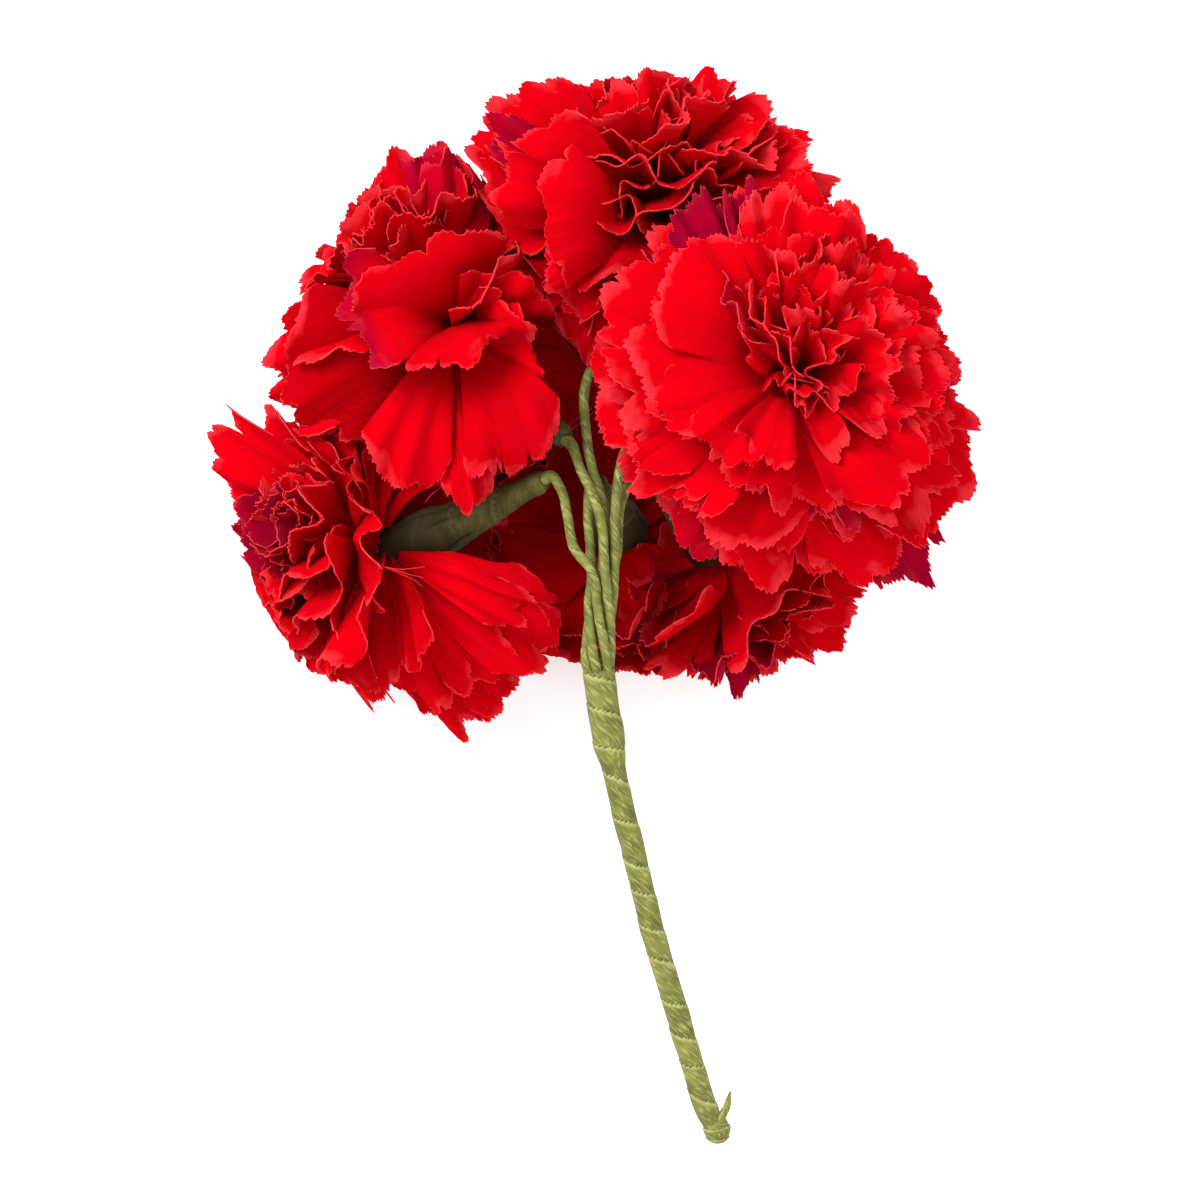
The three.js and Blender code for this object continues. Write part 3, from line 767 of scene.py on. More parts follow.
@dataclass(frozen=True)
class PetalCloth:
    """Woven red cloth with a lighter frayed edge, purple dye where the petal has it, a painted highlight
    near the free edge, painted thread glints, and painted shade on petals set darker.

    Attributes:
        red: Colour of the cloth.
        deep: Colour of the deeper red: random blotches of dye, and painted shade on petals set darker.
        tip: Colour of the painted highlight near its free edge.
        fringe: Colour of the frayed edge, and of the painted thread glints.
        purple: Colour of the dyed ends.
        sheen: Colour of the nap.
        thread_pitch: Distance between threads, in millimetres.
        blotch_scale: Blotches of dye and wear to a centimetre.
        blotch_share: Share of the deep red in a blotch.
        blotch_limits: Noise values between which a blotch fades in.
        highlight_reach: How far the painted highlight comes in from the edge at most, in millimetres.
        highlight_fade: Distance over which the painted highlight fades, in millimetres.
        highlight_share: Share of the highlight colour where the painted highlight is full.
        highlight_limits: Noise values between which the painted highlight comes in from the edge.
        streak_scale: Streaks of purple to a centimetre.
        streak_shares: Share of purple between streaks, and what a streak adds.
        streak_limits: Noise values between which a streak fades in.
        fray_scale: Frayed spots to a centimetre.
        fray_share: Share of the fringe colour at the edge.
        fray_limits: Distances from the edge, less the noise, between which fraying fades in.
        glint_shares: Share of painted thread glints over all the cloth, and what the painted edge
            highlight adds.
        crease_scale: Creases to a centimetre, across and along.
        weave_relief: Height of the threads against that of the creases.
        relief: Strength and height in metres of the relief.
    """

    red: Colour = (0.62, 0.0002, 0.0055, 1)
    deep: Colour = (0.27, 0.0001, 0.002, 1)
    tip: Colour = (0.8, 0.029, 0.042, 1)
    fringe: Colour = (0.82, 0.06, 0.075, 1)
    purple: Colour = (0.24, 0.0007, 0.019, 1)
    sheen: Colour = (1, 0.2, 0.25, 1)
    thread_pitch: float = 0.5
    blotch_scale: float = 1.3
    blotch_share: float = 0.2
    blotch_limits: Pair = (0.3, 0.7)
    highlight_reach: float = 7.0
    highlight_fade: float = 4.0
    highlight_share: float = 0.75
    highlight_limits: Pair = (0.4, 0.72)
    streak_scale: float = 2.4
    streak_shares: Pair = (0.75, 0.3)
    streak_limits: Pair = (0.35, 0.65)
    fray_scale: float = 9
    fray_share: float = 0.42
    fray_limits: Pair = (-0.2, -0.4)
    glint_shares: Pair = (0.004, 0.14)
    crease_scale: Point = (3.5, 0.35, 1)
    weave_relief: float = 0.12
    relief: Pair = (0.7, 0.0018)

    def build(self) -> bpy.types.Material:
        """Return the material."""
        sheet = NodeSheet("petal_cloth")
        cloth = sheet.add("ShaderNodeUVMap", uv_map="cloth").outputs["UV"]
        flat = sheet.add("ShaderNodeSeparateXYZ")
        sheet.feed(flat.inputs[0], cloth)
        turns = 2 * math.pi * MM_IN_CM / self.thread_pitch
        warp, weft = (sheet.math("SINE", sheet.times(flat.outputs[k], turns)) for k in "XY")
        weave = sheet.ramp(sheet.times(warp, weft), -1, 1)
        rim = sheet.attribute("rim")
        stain = sheet.noise(cloth, self.blotch_scale)
        blotch = sheet.times(sheet.ramp(stain, *self.blotch_limits), self.blotch_share)
        colour = sheet.mix(blotch, self.red, self.deep)
        # Deeper red by each petal's share: a random tone of the cloth, and painted shade on petals that
        # lie in shade
        colour = sheet.mix(sheet.attribute("tone_and_shade"), colour, self.deep)
        # Painted highlight: a lighter coral band along the free edge, of uneven reach
        patch = sheet.times(sheet.ramp(stain, *self.highlight_limits), -self.highlight_reach)
        highlight = sheet.ramp(sheet.plus(rim, patch), 0.0, -self.highlight_fade)
        colour = sheet.mix(sheet.times(highlight, self.highlight_share), colour, self.tip)
        streak = sheet.ramp(sheet.noise(cloth, self.streak_scale, 5), *self.streak_limits)
        streak = sheet.plus(sheet.times(streak, self.streak_shares[1]), self.streak_shares[0])
        colour = sheet.mix(sheet.times(sheet.attribute("dye"), streak), colour, self.purple)
        fray = sheet.plus(rim, sheet.times(sheet.noise(cloth, self.fray_scale, 2), -1.0))
        edge = sheet.times(sheet.ramp(fray, *self.fray_limits), self.fray_share)
        colour = sheet.mix(edge, colour, self.fringe)
        # Painted glints of the threads, mostly within the painted edge highlight
        thread_glint = sheet.plus(sheet.times(highlight, self.glint_shares[1]), self.glint_shares[0])
        sheet.surface(
            Base_Color=sheet.mix(sheet.times(weave, thread_glint), colour, self.fringe),
            Roughness=0.75,
            Specular_IOR_Level=0.0,
            Sheen_Weight=0.015,
            Sheen_Roughness=0.4,
            Sheen_Tint=self.sheen,
        )
        crease = sheet.noise(sheet.stretched(cloth, self.crease_scale), 1.0, 3)
        sheet.bump(sheet.plus(sheet.times(weave, self.weave_relief), crease), *self.relief)
        return sheet.material


@dataclass(frozen=True)
class CrepeTape:
    """Green crepe paper tape with fine creases, painted highlights on its crease ridges and on the raised
    edges of its turns, and painted shade in folds, beside overlaps and towards a calyx's mouth.

    Attributes:
        name: Name of the material.
        green: Colour of the tape.
        light: Colour of the painted highlights on the raised edges of its turns and on its crease ridges.
        dark: Colour of its patches.
        deep: Colour of the painted shade on a calyx towards its mouth.
        fold: Colour of the painted shade inside folds and beside overlaps.
        patch_scale: Darker patches to a centimetre.
        patch_limits: Noise values between which a patch fades in.
        crease_scale: Fine creases to a centimetre, before they are drawn long.
        crease_stretch: Factors along each axis that draw the creases long.
        highlight_share: Share of the painted highlight on the crease ridges.
        highlight_limits: Noise values between which the painted highlight comes in on a crease.
        relief: Strength and height in metres of the creases.
    """

    name: str
    green: Colour
    light: Colour
    dark: Colour
    deep: Colour = (0.024, 0.016, 0.005, 1)
    fold: Colour = (0.03, 0.03, 0.008, 1)
    patch_scale: float = 2.2
    patch_limits: Pair = (0.35, 0.68)
    crease_scale: float = 22
    crease_stretch: Point = (1, 0.18, 1)
    highlight_share: float = 0.55
    highlight_limits: Pair = (0.5, 0.72)
    relief: Pair = (0.6, 0.0002)

    def build(self) -> bpy.types.Material:
        """Return the material."""
        sheet = NodeSheet(self.name)
        wound = sheet.add("ShaderNodeUVMap", uv_map="cloth").outputs["UV"]
        crease = sheet.noise(sheet.stretched(wound, self.crease_stretch), self.crease_scale, 4)
        patch = sheet.ramp(sheet.noise(wound, self.patch_scale), *self.patch_limits)
        colour = sheet.mix(patch, self.green, self.dark)
        # Painted highlight on the crease ridges
        highlight = sheet.times(sheet.ramp(crease, *self.highlight_limits), self.highlight_share)
        colour = sheet.mix(highlight, colour, self.light)
        # Painted highlight on the edges of the turns, painted shade towards a calyx's mouth, and painted
        # shade in folds and beside overlaps
        for value, over in (("overlap_highlight", self.light), ("depth", self.deep), ("shadow", self.fold)):
            colour = sheet.mix(sheet.attribute(value), colour, over)
        sheet.surface(Base_Color=colour, Roughness=0.62, Specular_IOR_Level=0.2)
        sheet.bump(crease, *self.relief)
        return sheet.material


@dataclass(frozen=True)
class BareSteel:
    """The bundled steel wire inside the stem.

    Attributes:
        dull: Darker colour of its grain.
        bright: Lighter colour of its grain.
        grain_scale: Grains to a metre.
    """

    dull: Colour = (0.4, 0.41, 0.42, 1)
    bright: Colour = (0.55, 0.56, 0.57, 1)
    grain_scale: float = 900

    def build(self) -> bpy.types.Material:
        """Return the material."""
        sheet = NodeSheet("bare_steel")
        place = sheet.add("ShaderNodeTexCoord").outputs["Object"]
        grain = sheet.noise(place, self.grain_scale)
        sheet.surface(Base_Color=sheet.mix(grain, self.dull, self.bright), Metallic=0.9, Roughness=0.4)
        return sheet.material


FLORAL_TAPE = CrepeTape(
    name="floral_tape",
    green=(0.18, 0.19, 0.037, 1),
    light=(0.52, 0.52, 0.18, 1),
    dark=(0.085, 0.095, 0.018, 1),
)
CALYX_TAPE = CrepeTape(
    name="calyx_tape",
    green=(0.095, 0.08, 0.018, 1),
    light=(0.17, 0.15, 0.04, 1),
    dark=(0.045, 0.036, 0.009, 1),
)


@dataclass
class Finishes:
    """The materials of the bunch: cloth, tape, calyx tape and steel."""

    petal: bpy.types.Material = field(default_factory=lambda: PetalCloth().build())
    tape: bpy.types.Material = field(default_factory=lambda: FLORAL_TAPE.build())
    calyx: bpy.types.Material = field(default_factory=lambda: CALYX_TAPE.build())
    steel: bpy.types.Material = field(default_factory=lambda: BareSteel().build())


def deselect() -> None:
    """Deselect every object."""
    bpy.ops.object.select_all(action="DESELECT")


def make_active(piece: bpy.types.Object) -> None:
    """Select one object alone and make it active."""
    deselect()
    piece.select_set(True)
    bpy.context.view_layer.objects.active = piece


def new_grid(name: str, columns: int, rows: int) -> bpy.types.Object:
    """Add a flat grid from -1 to 1 with the given number of faces each way.

    Args:
        name: Name of the object.
        columns: Number of faces along X.
        rows: Number of faces along Y.

    Returns:
        The grid, with a map named cloth.
    """
    deselect()
    bpy.ops.mesh.primitive_grid_add(x_subdivisions=columns, y_subdivisions=rows, size=2)
    piece = bpy.context.object
    piece.name = name
    piece.data.name = name
    piece.data.uv_layers[0].name = "cloth"
    return piece


def grid_shares(mesh: bpy.types.Mesh) -> tuple[np.ndarray, np.ndarray]:
    """Return each vertex's place across, -1 to 1, and along, 0 to 1, of a flat grid."""
    flat = np.empty(len(mesh.vertices) * 3)
    mesh.vertices.foreach_get("co", flat)
    flat = flat.reshape(-1, 3)
    return np.clip(flat[:, 0], -1, 1), np.clip((flat[:, 1] + 1) / 2, 0, 1)


def set_places(mesh: bpy.types.Mesh, places: np.ndarray) -> None:
    """Move a mesh's vertices to places given in millimetres."""
    mesh.vertices.foreach_set("co", ((places + CENTRING_SHIFT) * MM).astype(np.float32).ravel())
    mesh.update()


def set_value(mesh: bpy.types.Mesh, name: str, values: np.ndarray) -> None:
    """Store one number for each vertex under a name."""
    layer = mesh.attributes.get(name) or mesh.attributes.new(name, "FLOAT", "POINT")
    layer.data.foreach_set("value", values.astype(np.float32))


def set_cloth_map(mesh: bpy.types.Mesh, across: np.ndarray, along: np.ndarray) -> None:
    """Lay the map named cloth by two numbers for each vertex, in centimetres of cloth."""
    corners = np.empty(len(mesh.loops), dtype=np.int64)
    mesh.loops.foreach_get("vertex_index", corners)
    places = np.stack([across[corners], along[corners]], axis=1)
    mesh.uv_layers["cloth"].data.foreach_set("uv", places.ravel())


def joined(name: str, pieces: list[bpy.types.Object]) -> bpy.types.Object:
    """Join objects into one under a name."""
    deselect()
    for piece in pieces:
        piece.select_set(True)
    bpy.context.view_layer.objects.active = pieces[0]
    bpy.ops.object.join()
    pieces[0].name = name
    pieces[0].data.name = name
    return pieces[0]


def thickened(piece: bpy.types.Object, thickness: float) -> None:
    """Give an open sheet its thickness, to both sides, and apply it."""
    make_active(piece)
    shell = piece.modifiers.new("thickness", "SOLIDIFY")
    shell.thickness = thickness * MM
    shell.offset = 0
    bpy.ops.object.modifier_apply(modifier=shell.name)


def smoothed(piece: bpy.types.Object, angle: float) -> None:
    """Shade a piece smooth except across edges sharper than an angle in degrees."""
    make_active(piece)
    bpy.ops.object.shade_smooth_by_angle(angle=math.radians(angle))


def finished(piece: bpy.types.Object, material: bpy.types.Material) -> None:
    """Give a piece one material in place of what it has."""
    piece.data.materials.clear()
    piece.data.materials.append(material)


def dressed(piece: bpy.types.Object, material: bpy.types.Material, node: str) -> None:
    """Give a piece its material and its body, and hide the node that it stands for."""
    finished(piece, material)
    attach(piece, BODY)
    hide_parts(node)
    LOG.info("%s: %d faces", piece.name, len(piece.data.polygons))


def softened(value: np.ndarray, free: float, limit: float) -> np.ndarray:
    """Leave values alone up to free, and close in on limit beyond it."""
    beyond = np.maximum(value - free, 0)
    return np.minimum(value, free) + (limit - free) * (1 - np.exp(-beyond / (limit - free)))


@dataclass
class PressPlane:
    """A plane that a head's petals bend away from.

    Attributes:
        normal: Direction from the head's mouth to the plane.
        room: Distance of the plane from the mouth.
        free: Distance up to which petals keep their own line.
    """

    normal: np.ndarray
    room: float
    free: float

    def press(self, places: np.ndarray, mouth: np.ndarray) -> np.ndarray:
        """Return the places bent clear of the plane."""
        reach = (places - mouth) @ self.normal
        return places + np.outer(softened(reach, self.free, self.room) - reach, self.normal)


def press_planes(head: Head) -> list[PressPlane]:
    """Return the planes round a head: the table, and one towards each neighbour.

    Args:
        head: The head whose petals are bent.

    Returns:
        The planes, the table's first.
    """
    mouth = vector(head.mouth)
    table_room = mouth[2] - CLOTH_THICKNESS / 2
    planes = [PressPlane(-vector(UP), table_room, table_room * TABLE_FREE_SHARE)]
    for other in HEADS:
        apart = vector(other.mouth) - mouth
        if other is head or np.linalg.norm(apart) > head.radius + other.radius:
            continue
        chosen = next((p for p in PARTINGS if {p.first, p.second} == {head.name, other.name}), None)
        if chosen is None:
            normal = unit(apart)
            share = head.radius / (head.radius + other.radius)
        else:
            is_first = chosen.first == head.name
            normal = unit(vector(chosen.normal)) * (1 if is_first else -1)
            share = chosen.share if is_first else 1 - chosen.share
        room = share * float(apart @ normal) + CLOTH_INTERLOCK
        planes.append(PressPlane(normal, room, room * NEIGHBOUR_FREE_SHARE))
    for wall in head.walls:
        planes.append(PressPlane(unit(vector(wall.normal)), wall.room, wall.room * WALL_FREE_SHARE))
    return planes


@dataclass
class Petal:
    """One cloth petal: a fan on a bent middle line, with a ruffled and pinked free edge.

    Attributes:
        root: Where it starts.
        lift: Point that it rises towards.
        tip: Middle of its free edge.
        side: Direction across it.
        half_angle: Half the angle of the fan, in radians.
        cup: Rise of its sides towards the inner face, in millimetres.
        curl: Rise of its free edge towards the inner face, in millimetres.
        waves: Height, count and phase of each wave of the ruffle.
        scallops: Phase of the large scallops of the free edge.
        clefts: Places across of the cuts between the scallops.
        slits: Places across of the deep cuts.
        dye: Share of purple.
        tone_and_shade: Share of deeper red: a tone of the cloth, and painted shade where it is raised.
        draw: Random draws of the petal.
        dye_from: Share of the length from which it is dyed.
    """

    root: np.ndarray
    lift: np.ndarray
    tip: np.ndarray
    side: np.ndarray
    half_angle: float
    cup: float
    curl: float
    waves: list[tuple[float, float, float]]
    scallops: float
    clefts: list[float]
    slits: list[float]
    dye: float
    tone_and_shade: float
    draw: random.Random
    dye_from: float = 0.4

    def teeth(self, column: np.ndarray) -> np.ndarray:
        """Return how deep the pinked edge is cut at each column, in millimetres."""
        columns = np.arange(PETAL_COLUMNS + 1)
        cuts = np.array([self.draw.uniform(*TOOTH_DEPTHS) for _ in columns])
        cuts *= TOOTH_SHARE * (columns % 2)
        start = -self.draw.randint(0, TUFT_COLUMNS[0])
        while start <= PETAL_COLUMNS:
            width = self.draw.randint(*TUFT_COLUMNS)
            inside = (columns >= start) & (columns < start + width)
            beside = np.abs(2 * (columns[inside] - start) / width - 1)
            cuts[inside] += self.draw.uniform(*TUFT_DEPTHS) * beside**TUFT_SQUARENESS
            start += width
        return cuts[column]

    def edge_reach(self, across: np.ndarray, column: np.ndarray, length: float) -> np.ndarray:
        """Return how far the free edge reaches at each place across, as a share of the length.

        Args:
            across: Places across, from -1 to 1.
            column: The same as columns of the grid.
            length: Length of the petal.

        Returns:
            The reach before the edge is pinked.
        """
        places = np.linspace(-1, 1, PETAL_COLUMNS + 1)
        depths = np.zeros(PETAL_COLUMNS + 1)
        bounds = (-1.0, *self.clefts, 1.0)
        for low, high in zip(bounds, bounds[1:]):
            inside = (places >= low) & (places <= high)
            beside = np.abs(2 * (places[inside] - low) / (high - low) - 1)
            depths[inside] = self.draw.uniform(*LOBE_DEPTHS) * beside**LOBE_SQUARENESS
        for place in self.slits:
            middle = round((place + 1) / 2 * PETAL_COLUMNS)
            depths[middle] += SLIT_MIDDLE_DEPTH
            depths[middle - 1 : middle + 2] += SLIT_SIDE_DEPTH
        reach = 1 - PETAL_ROUNDING * across**2 - CORNER_ROUNDING * across**4
        for height, rate, turns in SCALLOPS:
            reach += height * np.sin(rate * across + turns * self.scallops)
        return reach - depths[column] / length

    def rise(self, across: np.ndarray, share: np.ndarray, sideways: np.ndarray) -> np.ndarray:
        """Return how far the cloth rises towards its inner face, in millimetres.

        Args:
            across: Places across, from -1 to 1.
            share: Places along, from 0 to 1.
            sideways: Distances from the middle line, as shares of the length.

        Returns:
            The rise at each place.
        """
        rise = self.cup * 4 * sideways**2 + self.curl * share**4
        for height, count, phase in self.waves:
            grown = height * share ** (WAVE_ONSET + WAVE_ONSET_GROWTH * count)
            rise += grown * np.sin(math.pi * count * across + phase)
        return rise

    def shape(self, piece: bpy.types.Object, mouth: np.ndarray, planes: list[PressPlane]) -> None:
        """Bend a flat grid into the petal and store its map and values.

        Args:
            piece: A copy of the flat grid.
            mouth: The middle of the calyx's mouth.
            planes: The planes that the petal bends away from.
        """
        across, along = grid_shares(piece.data)
        along = 1 - (1 - along) ** PETAL_ROW_CROWDING
        length = float(np.linalg.norm(self.tip - self.root))
        share = PETAL_START + (1 - PETAL_START) * along
        column = np.round((across + 1) / 2 * PETAL_COLUMNS).astype(int)
        edge = self.edge_reach(across, column, length)
        reach = share * (1 + (edge - 1) * share**3) - (along == 1) * self.teeth(column) / length
        fan = across * self.half_angle
        ahead = reach * np.cos(fan)
        sideways = reach * np.sin(fan)
        behind = 1 - ahead
        middle = (
            np.outer(behind**2, self.root)
            + np.outer(2 * behind * ahead, self.lift)
            + np.outer(ahead**2, self.tip)
        )
        heading = np.outer(behind, self.lift - self.root) + np.outer(ahead, self.tip - self.lift)
        facing = unit(np.cross(heading, self.side))
        places = middle + np.outer(sideways * length, self.side)
        places += facing * self.rise(across, share, sideways)[:, None]
        for plane in planes:
            places = plane.press(places, mouth)
        set_places(piece.data, places)
        shift = self.draw.uniform(0, CLOTH_SPREAD)
        scale = length / MM_IN_CM
        set_cloth_map(piece.data, sideways * scale + shift, reach * scale)
        dye_to = min(1.0, self.dye_from + DYE_RISE)
        set_value(piece.data, "rim", (1 - along) * length * (1 - PETAL_START) + RIM_LEAST)
        set_value(piece.data, "dye", self.dye * smooth_step(share, self.dye_from, dye_to))
        set_value(piece.data, "tone_and_shade", np.full(len(across), self.tone_and_shade))


@dataclass(frozen=True)
class WaveDraws:
    """Ranges of the random draws of one wave of a petal's ruffle.

    Attributes:
        height: Height, in millimetres.
        count: Number of waves across the petal.
        phase: Its phase against that of the petal.
        ruffle: Power of the ruffle that its height grows by.
    """

    height: Pair
    count: Pair
    phase: float
    ruffle: int


WAVE_DRAWS = (
    WaveDraws((1.0, 2.4), (0.8, 1.5), 2.3, 0),
    WaveDraws((1.0, 2.0), (1.8, 2.8), 1.0, 1),
    WaveDraws((0.2, 0.6), (3.6, 5.2), 1.7, 2),
)
OWN_RUFFLE = 0.9
OWN_SLIT_SWING = 0.7

# Ranges of the draws of ring petals; a swing goes as far to either side, angles are in degrees
TURN_SWING = 11
TILT_STAGGER = 3.5
TILT_SWING = 6
LENGTH_SHARES = (0.87, 1.02)
LIFT_TILT_SHARES = (0.3, 0.62)
TWIST_SWING = 26
FAN_SHARES = (0.85, 1.15)
CUPS = (-5, 7)
CURLS = (-4.5, 2.5)
SLIT_SWING = 0.8
SLIT_CHANCE = 0.3
MOST_TINT = 0.25


@dataclass
class Bloom:
    """A flower head's petals, made from copies of one flat grid and joined in one piece.

    Attributes:
        head: Sizes and places of the head.
        finish: The petals' material.
    """

    head: Head
    finish: bpy.types.Material

    def __post_init__(self) -> None:
        """Work out the head's frame and start its random draws."""
        self.mouth = vector(self.head.mouth)
        self.axis = unit(vector(self.head.axis))
        self.across = unit(vector((1, 0, 0)) - self.axis * self.axis[0])
        self.upward = np.cross(self.axis, self.across)
        self.root = self.mouth + ROOT_RISE * self.axis
        self.draw = random.Random(self.head.seed)

    def swing(self, reach: float) -> float:
        """Return a random number from -reach to reach."""
        return self.draw.uniform(-reach, reach)

    def direction(self, tilt: float, turn: float) -> np.ndarray:
        """Return the direction at a tilt from the axis and a turn round it."""
        outwards = math.cos(turn) * self.across + math.sin(turn) * self.upward
        return math.cos(tilt) * self.axis + math.sin(tilt) * outwards

    def side_of(self, tip: np.ndarray, face: np.ndarray, twist: float) -> np.ndarray:
        """Return the direction across a petal.

        Args:
            tip: Middle of its free edge.
            face: Direction that its face looks in.
            twist: Turn of the petal about its own length, in radians.

        Returns:
            The direction, at length one.
        """
        heading = unit(tip - self.root)
        side = unit(np.cross(face, heading))
        return math.cos(twist) * side + math.sin(twist) * np.cross(heading, side)

    def reach(self, tilt: float) -> float:
        """Return the length of the petals at a tilt in degrees: the inner ones are shorter."""
        share = min(1.0, tilt / FULL_LENGTH_TILT)
        return self.head.radius * (self.head.heart + (1 - self.head.heart) * share)

    def is_left_out(self, tilt: float, turn: float) -> bool:
        """Return whether a ring's petal at a tilt in degrees and a turn in radians is left out."""
        outwards = self.direction(math.pi / 2, turn)
        return any(
            gap.low < tilt < gap.high and float(outwards @ unit(vector(gap.side))) > gap.spread
            for gap in self.head.gaps
        )

    def clefts(self) -> list[float]:
        """Return the places of the cuts between one petal's scallops."""
        count = self.draw.choice(CLEFT_COUNTS)
        return [
            -CLEFT_SPAN + 2 * CLEFT_SPAN * (i + self.draw.uniform(*CLEFT_PLACES)) / count
            for i in range(count)
        ]

    def ring_slits(self) -> list[float]:
        """Return the place of a ring petal's deep cut, which few of them have."""
        if self.draw.uniform(0, 1) < SLIT_CHANCE:
            return [self.swing(SLIT_SWING)]
        return []

    def dye_at(self, tip: np.ndarray) -> float:
        """Return the share of purple of a petal whose tip is at a place."""
        for spot in self.head.dyes:
            if math.dist(tip[:2], spot.place) < spot.reach:
                return spot.strength
        return 0.0

    def waves(self, ruffle: float) -> list[tuple[float, float, float]]:
        """Return the waves of one petal's ruffle."""
        phase = self.draw.uniform(0, 2 * math.pi)
        return [
            (
                self.draw.uniform(*wave.height) * ruffle**wave.ruffle,
                self.draw.uniform(*wave.count),
                wave.phase * phase,
            )
            for wave in WAVE_DRAWS
        ]

    def ring_petals(self) -> list[Petal]:
        """Return the petals of all rings."""
        petals = []
        draw = self.draw.uniform
        for level, ring in enumerate(self.head.rings):
            for index in range(ring.count):
                even_turn = (index + 0.5 * (level % 2)) * 2 * math.pi / ring.count
                turn = even_turn + math.radians(self.swing(TURN_SWING))
                stagger = TILT_STAGGER if index % 2 else -TILT_STAGGER
                tilt = math.radians(ring.tilt + stagger + self.swing(TILT_SWING))
                length = self.reach(ring.tilt) * draw(*LENGTH_SHARES)
                tip = self.root + length * self.direction(tilt, turn)
                if self.is_left_out(ring.tilt, turn):
                    continue
                lift_tilt = draw(*LIFT_TILT_SHARES) * tilt
                twist = math.radians(self.swing(TWIST_SWING))
                petals.append(
                    Petal(
                        root=self.root,
                        lift=self.root + 0.5 * length * self.direction(lift_tilt, turn),
                        tip=tip,
                        side=self.side_of(tip, self.axis, twist),
                        half_angle=math.radians(ring.half_angle * draw(*FAN_SHARES)),
                        cup=draw(*CUPS) + HEART_FOLD * max(0.0, 1 - ring.tilt / HEART_TILT),
                        curl=draw(*CURLS),
                        waves=self.waves(ring.ruffle),
                        scallops=draw(0, 2 * math.pi),
                        clefts=self.clefts(),
                        slits=self.ring_slits(),
                        dye=self.dye_at(tip),
                        # Deeper red: a random tone, plus the head's painted shade
                        tone_and_shade=min(1.0, draw(0, MOST_TINT) + self.head.tone_and_shade),
                        draw=self.draw,
                    )
                )
        return petals

    def own_petals(self) -> list[Petal]:
        """Return the petals with places of their own."""
        petals = []
        for own in self.head.own:
            tip = vector(own.tip)
            petals.append(
                Petal(
                    root=self.root,
                    lift=vector(own.lift),
                    tip=tip,
                    side=self.side_of(tip, self.axis if own.face is None else vector(own.face), 0.0),
                    half_angle=math.radians(own.half_angle),
                    cup=own.cup,
                    curl=0.0,
                    waves=self.waves(OWN_RUFFLE),
                    scallops=self.draw.uniform(0, 2 * math.pi),
                    clefts=self.clefts(),
                    slits=[self.swing(OWN_SLIT_SWING) for _ in range(own.slits)],
                    dye=own.dye,
                    # Deeper red: the petal's own share, raised as painted shade on some, plus the head's
                    # painted shade
                    tone_and_shade=min(1.0, own.tone_and_shade + self.head.tone_and_shade),
                    draw=self.draw,
                    dye_from=own.dye_from,
                )
            )
        return petals

    def thread(self, points: list[Point]) -> bpy.types.Object:
        """Return a loose thread along points."""
        line = SmoothLine(points, THREAD_STEPS)
        tube = WoundTube("thread", line, THREAD_SIDES, NO_PITCH, 0.0, self.head.seed)
        return tube.build(np.full(len(line.share), THREAD_RADIUS))

    def build(self) -> None:
        """Make the head's petals and dress them as one piece."""
        planes = press_planes(self.head)
        flat = new_grid("flat_petal", PETAL_COLUMNS, PETAL_ROWS)
        for name in ("rim", "dye", "tone_and_shade"):
            flat.data.attributes.new(name, "FLOAT", "POINT")
        pieces = []
        for petal in (*self.ring_petals(), *self.own_petals()):
            piece = flat.copy()
            piece.data = flat.data.copy()
            bpy.context.collection.objects.link(piece)
            petal.shape(piece, self.mouth, planes)
            pieces.append(piece)
        bpy.data.objects.remove(flat)
        bloom = joined(f"petals_{self.head.name}", pieces)
        thickened(bloom, CLOTH_THICKNESS)
        threads = [self.thread(list(points)) for points in self.head.threads]
        bloom = joined(bloom.name, [bloom, *threads])
        smoothed(bloom, PETAL_CREASE_ANGLE)
        dressed(bloom, self.finish, f"bloom_{self.head.name}")


@dataclass
class SmoothLine:
    """A smooth line through points, walked at even steps of its length.

    Attributes:
        points: The points that the line passes, in millimetres.
        steps: Number of even steps.
    """

    points: list[Point]
    steps: int

    def __post_init__(self) -> None:
        """Work out the shares, the places, the headings and the frames at each step."""
        dense = self.dense_places()
        lengths = np.concatenate([[0], np.cumsum(np.linalg.norm(np.diff(dense, axis=0), axis=1))])
        self.share = np.linspace(0, 1, self.steps + 1)
        self.walked = np.linspace(0, lengths[-1], self.steps + 1)
        self.places = np.stack([np.interp(self.walked, lengths, dense[:, k]) for k in range(3)], axis=1)
        self.headings = unit(np.gradient(self.places, axis=0))
        self.normals = self.carried_normals()
        self.binormals = np.cross(self.headings, self.normals)

    def dense_places(self) -> np.ndarray:
        """Return many places on a centripetal spline through the points."""
        knots = np.array(self.points, dtype=float)
        knots = np.vstack([2 * knots[0] - knots[1], knots, 2 * knots[-1] - knots[-2]])
        places = []
        for a, b, c, d in zip(knots, knots[1:], knots[2:], knots[3:]):
            first, second, third = (math.sqrt(math.dist(p, q)) for p, q in ((a, b), (b, c), (c, d)))
            leave = ((b - a) / first - (c - a) / (first + second) + (c - b) / second) * second
            arrive = ((c - b) / second - (d - b) / (second + third) + (d - c) / third) * second
            bend = 3 * (c - b) - 2 * leave - arrive
            sway = 2 * (b - c) + leave + arrive
            for t in np.arange(DENSE_STEPS) / DENSE_STEPS:
                places.append(b + leave * t + bend * t**2 + sway * t**3)
        places.append(knots[-2])
        return np.array(places)

    def carried_normals(self) -> np.ndarray:
        """Return normals that turn no more than the line does, the first one pointing up."""
        normal = vector(UP)
        normals = []
        for heading in self.headings:
            normal = unit(normal - heading * (normal @ heading))
            normals.append(normal)
        return np.array(normals)


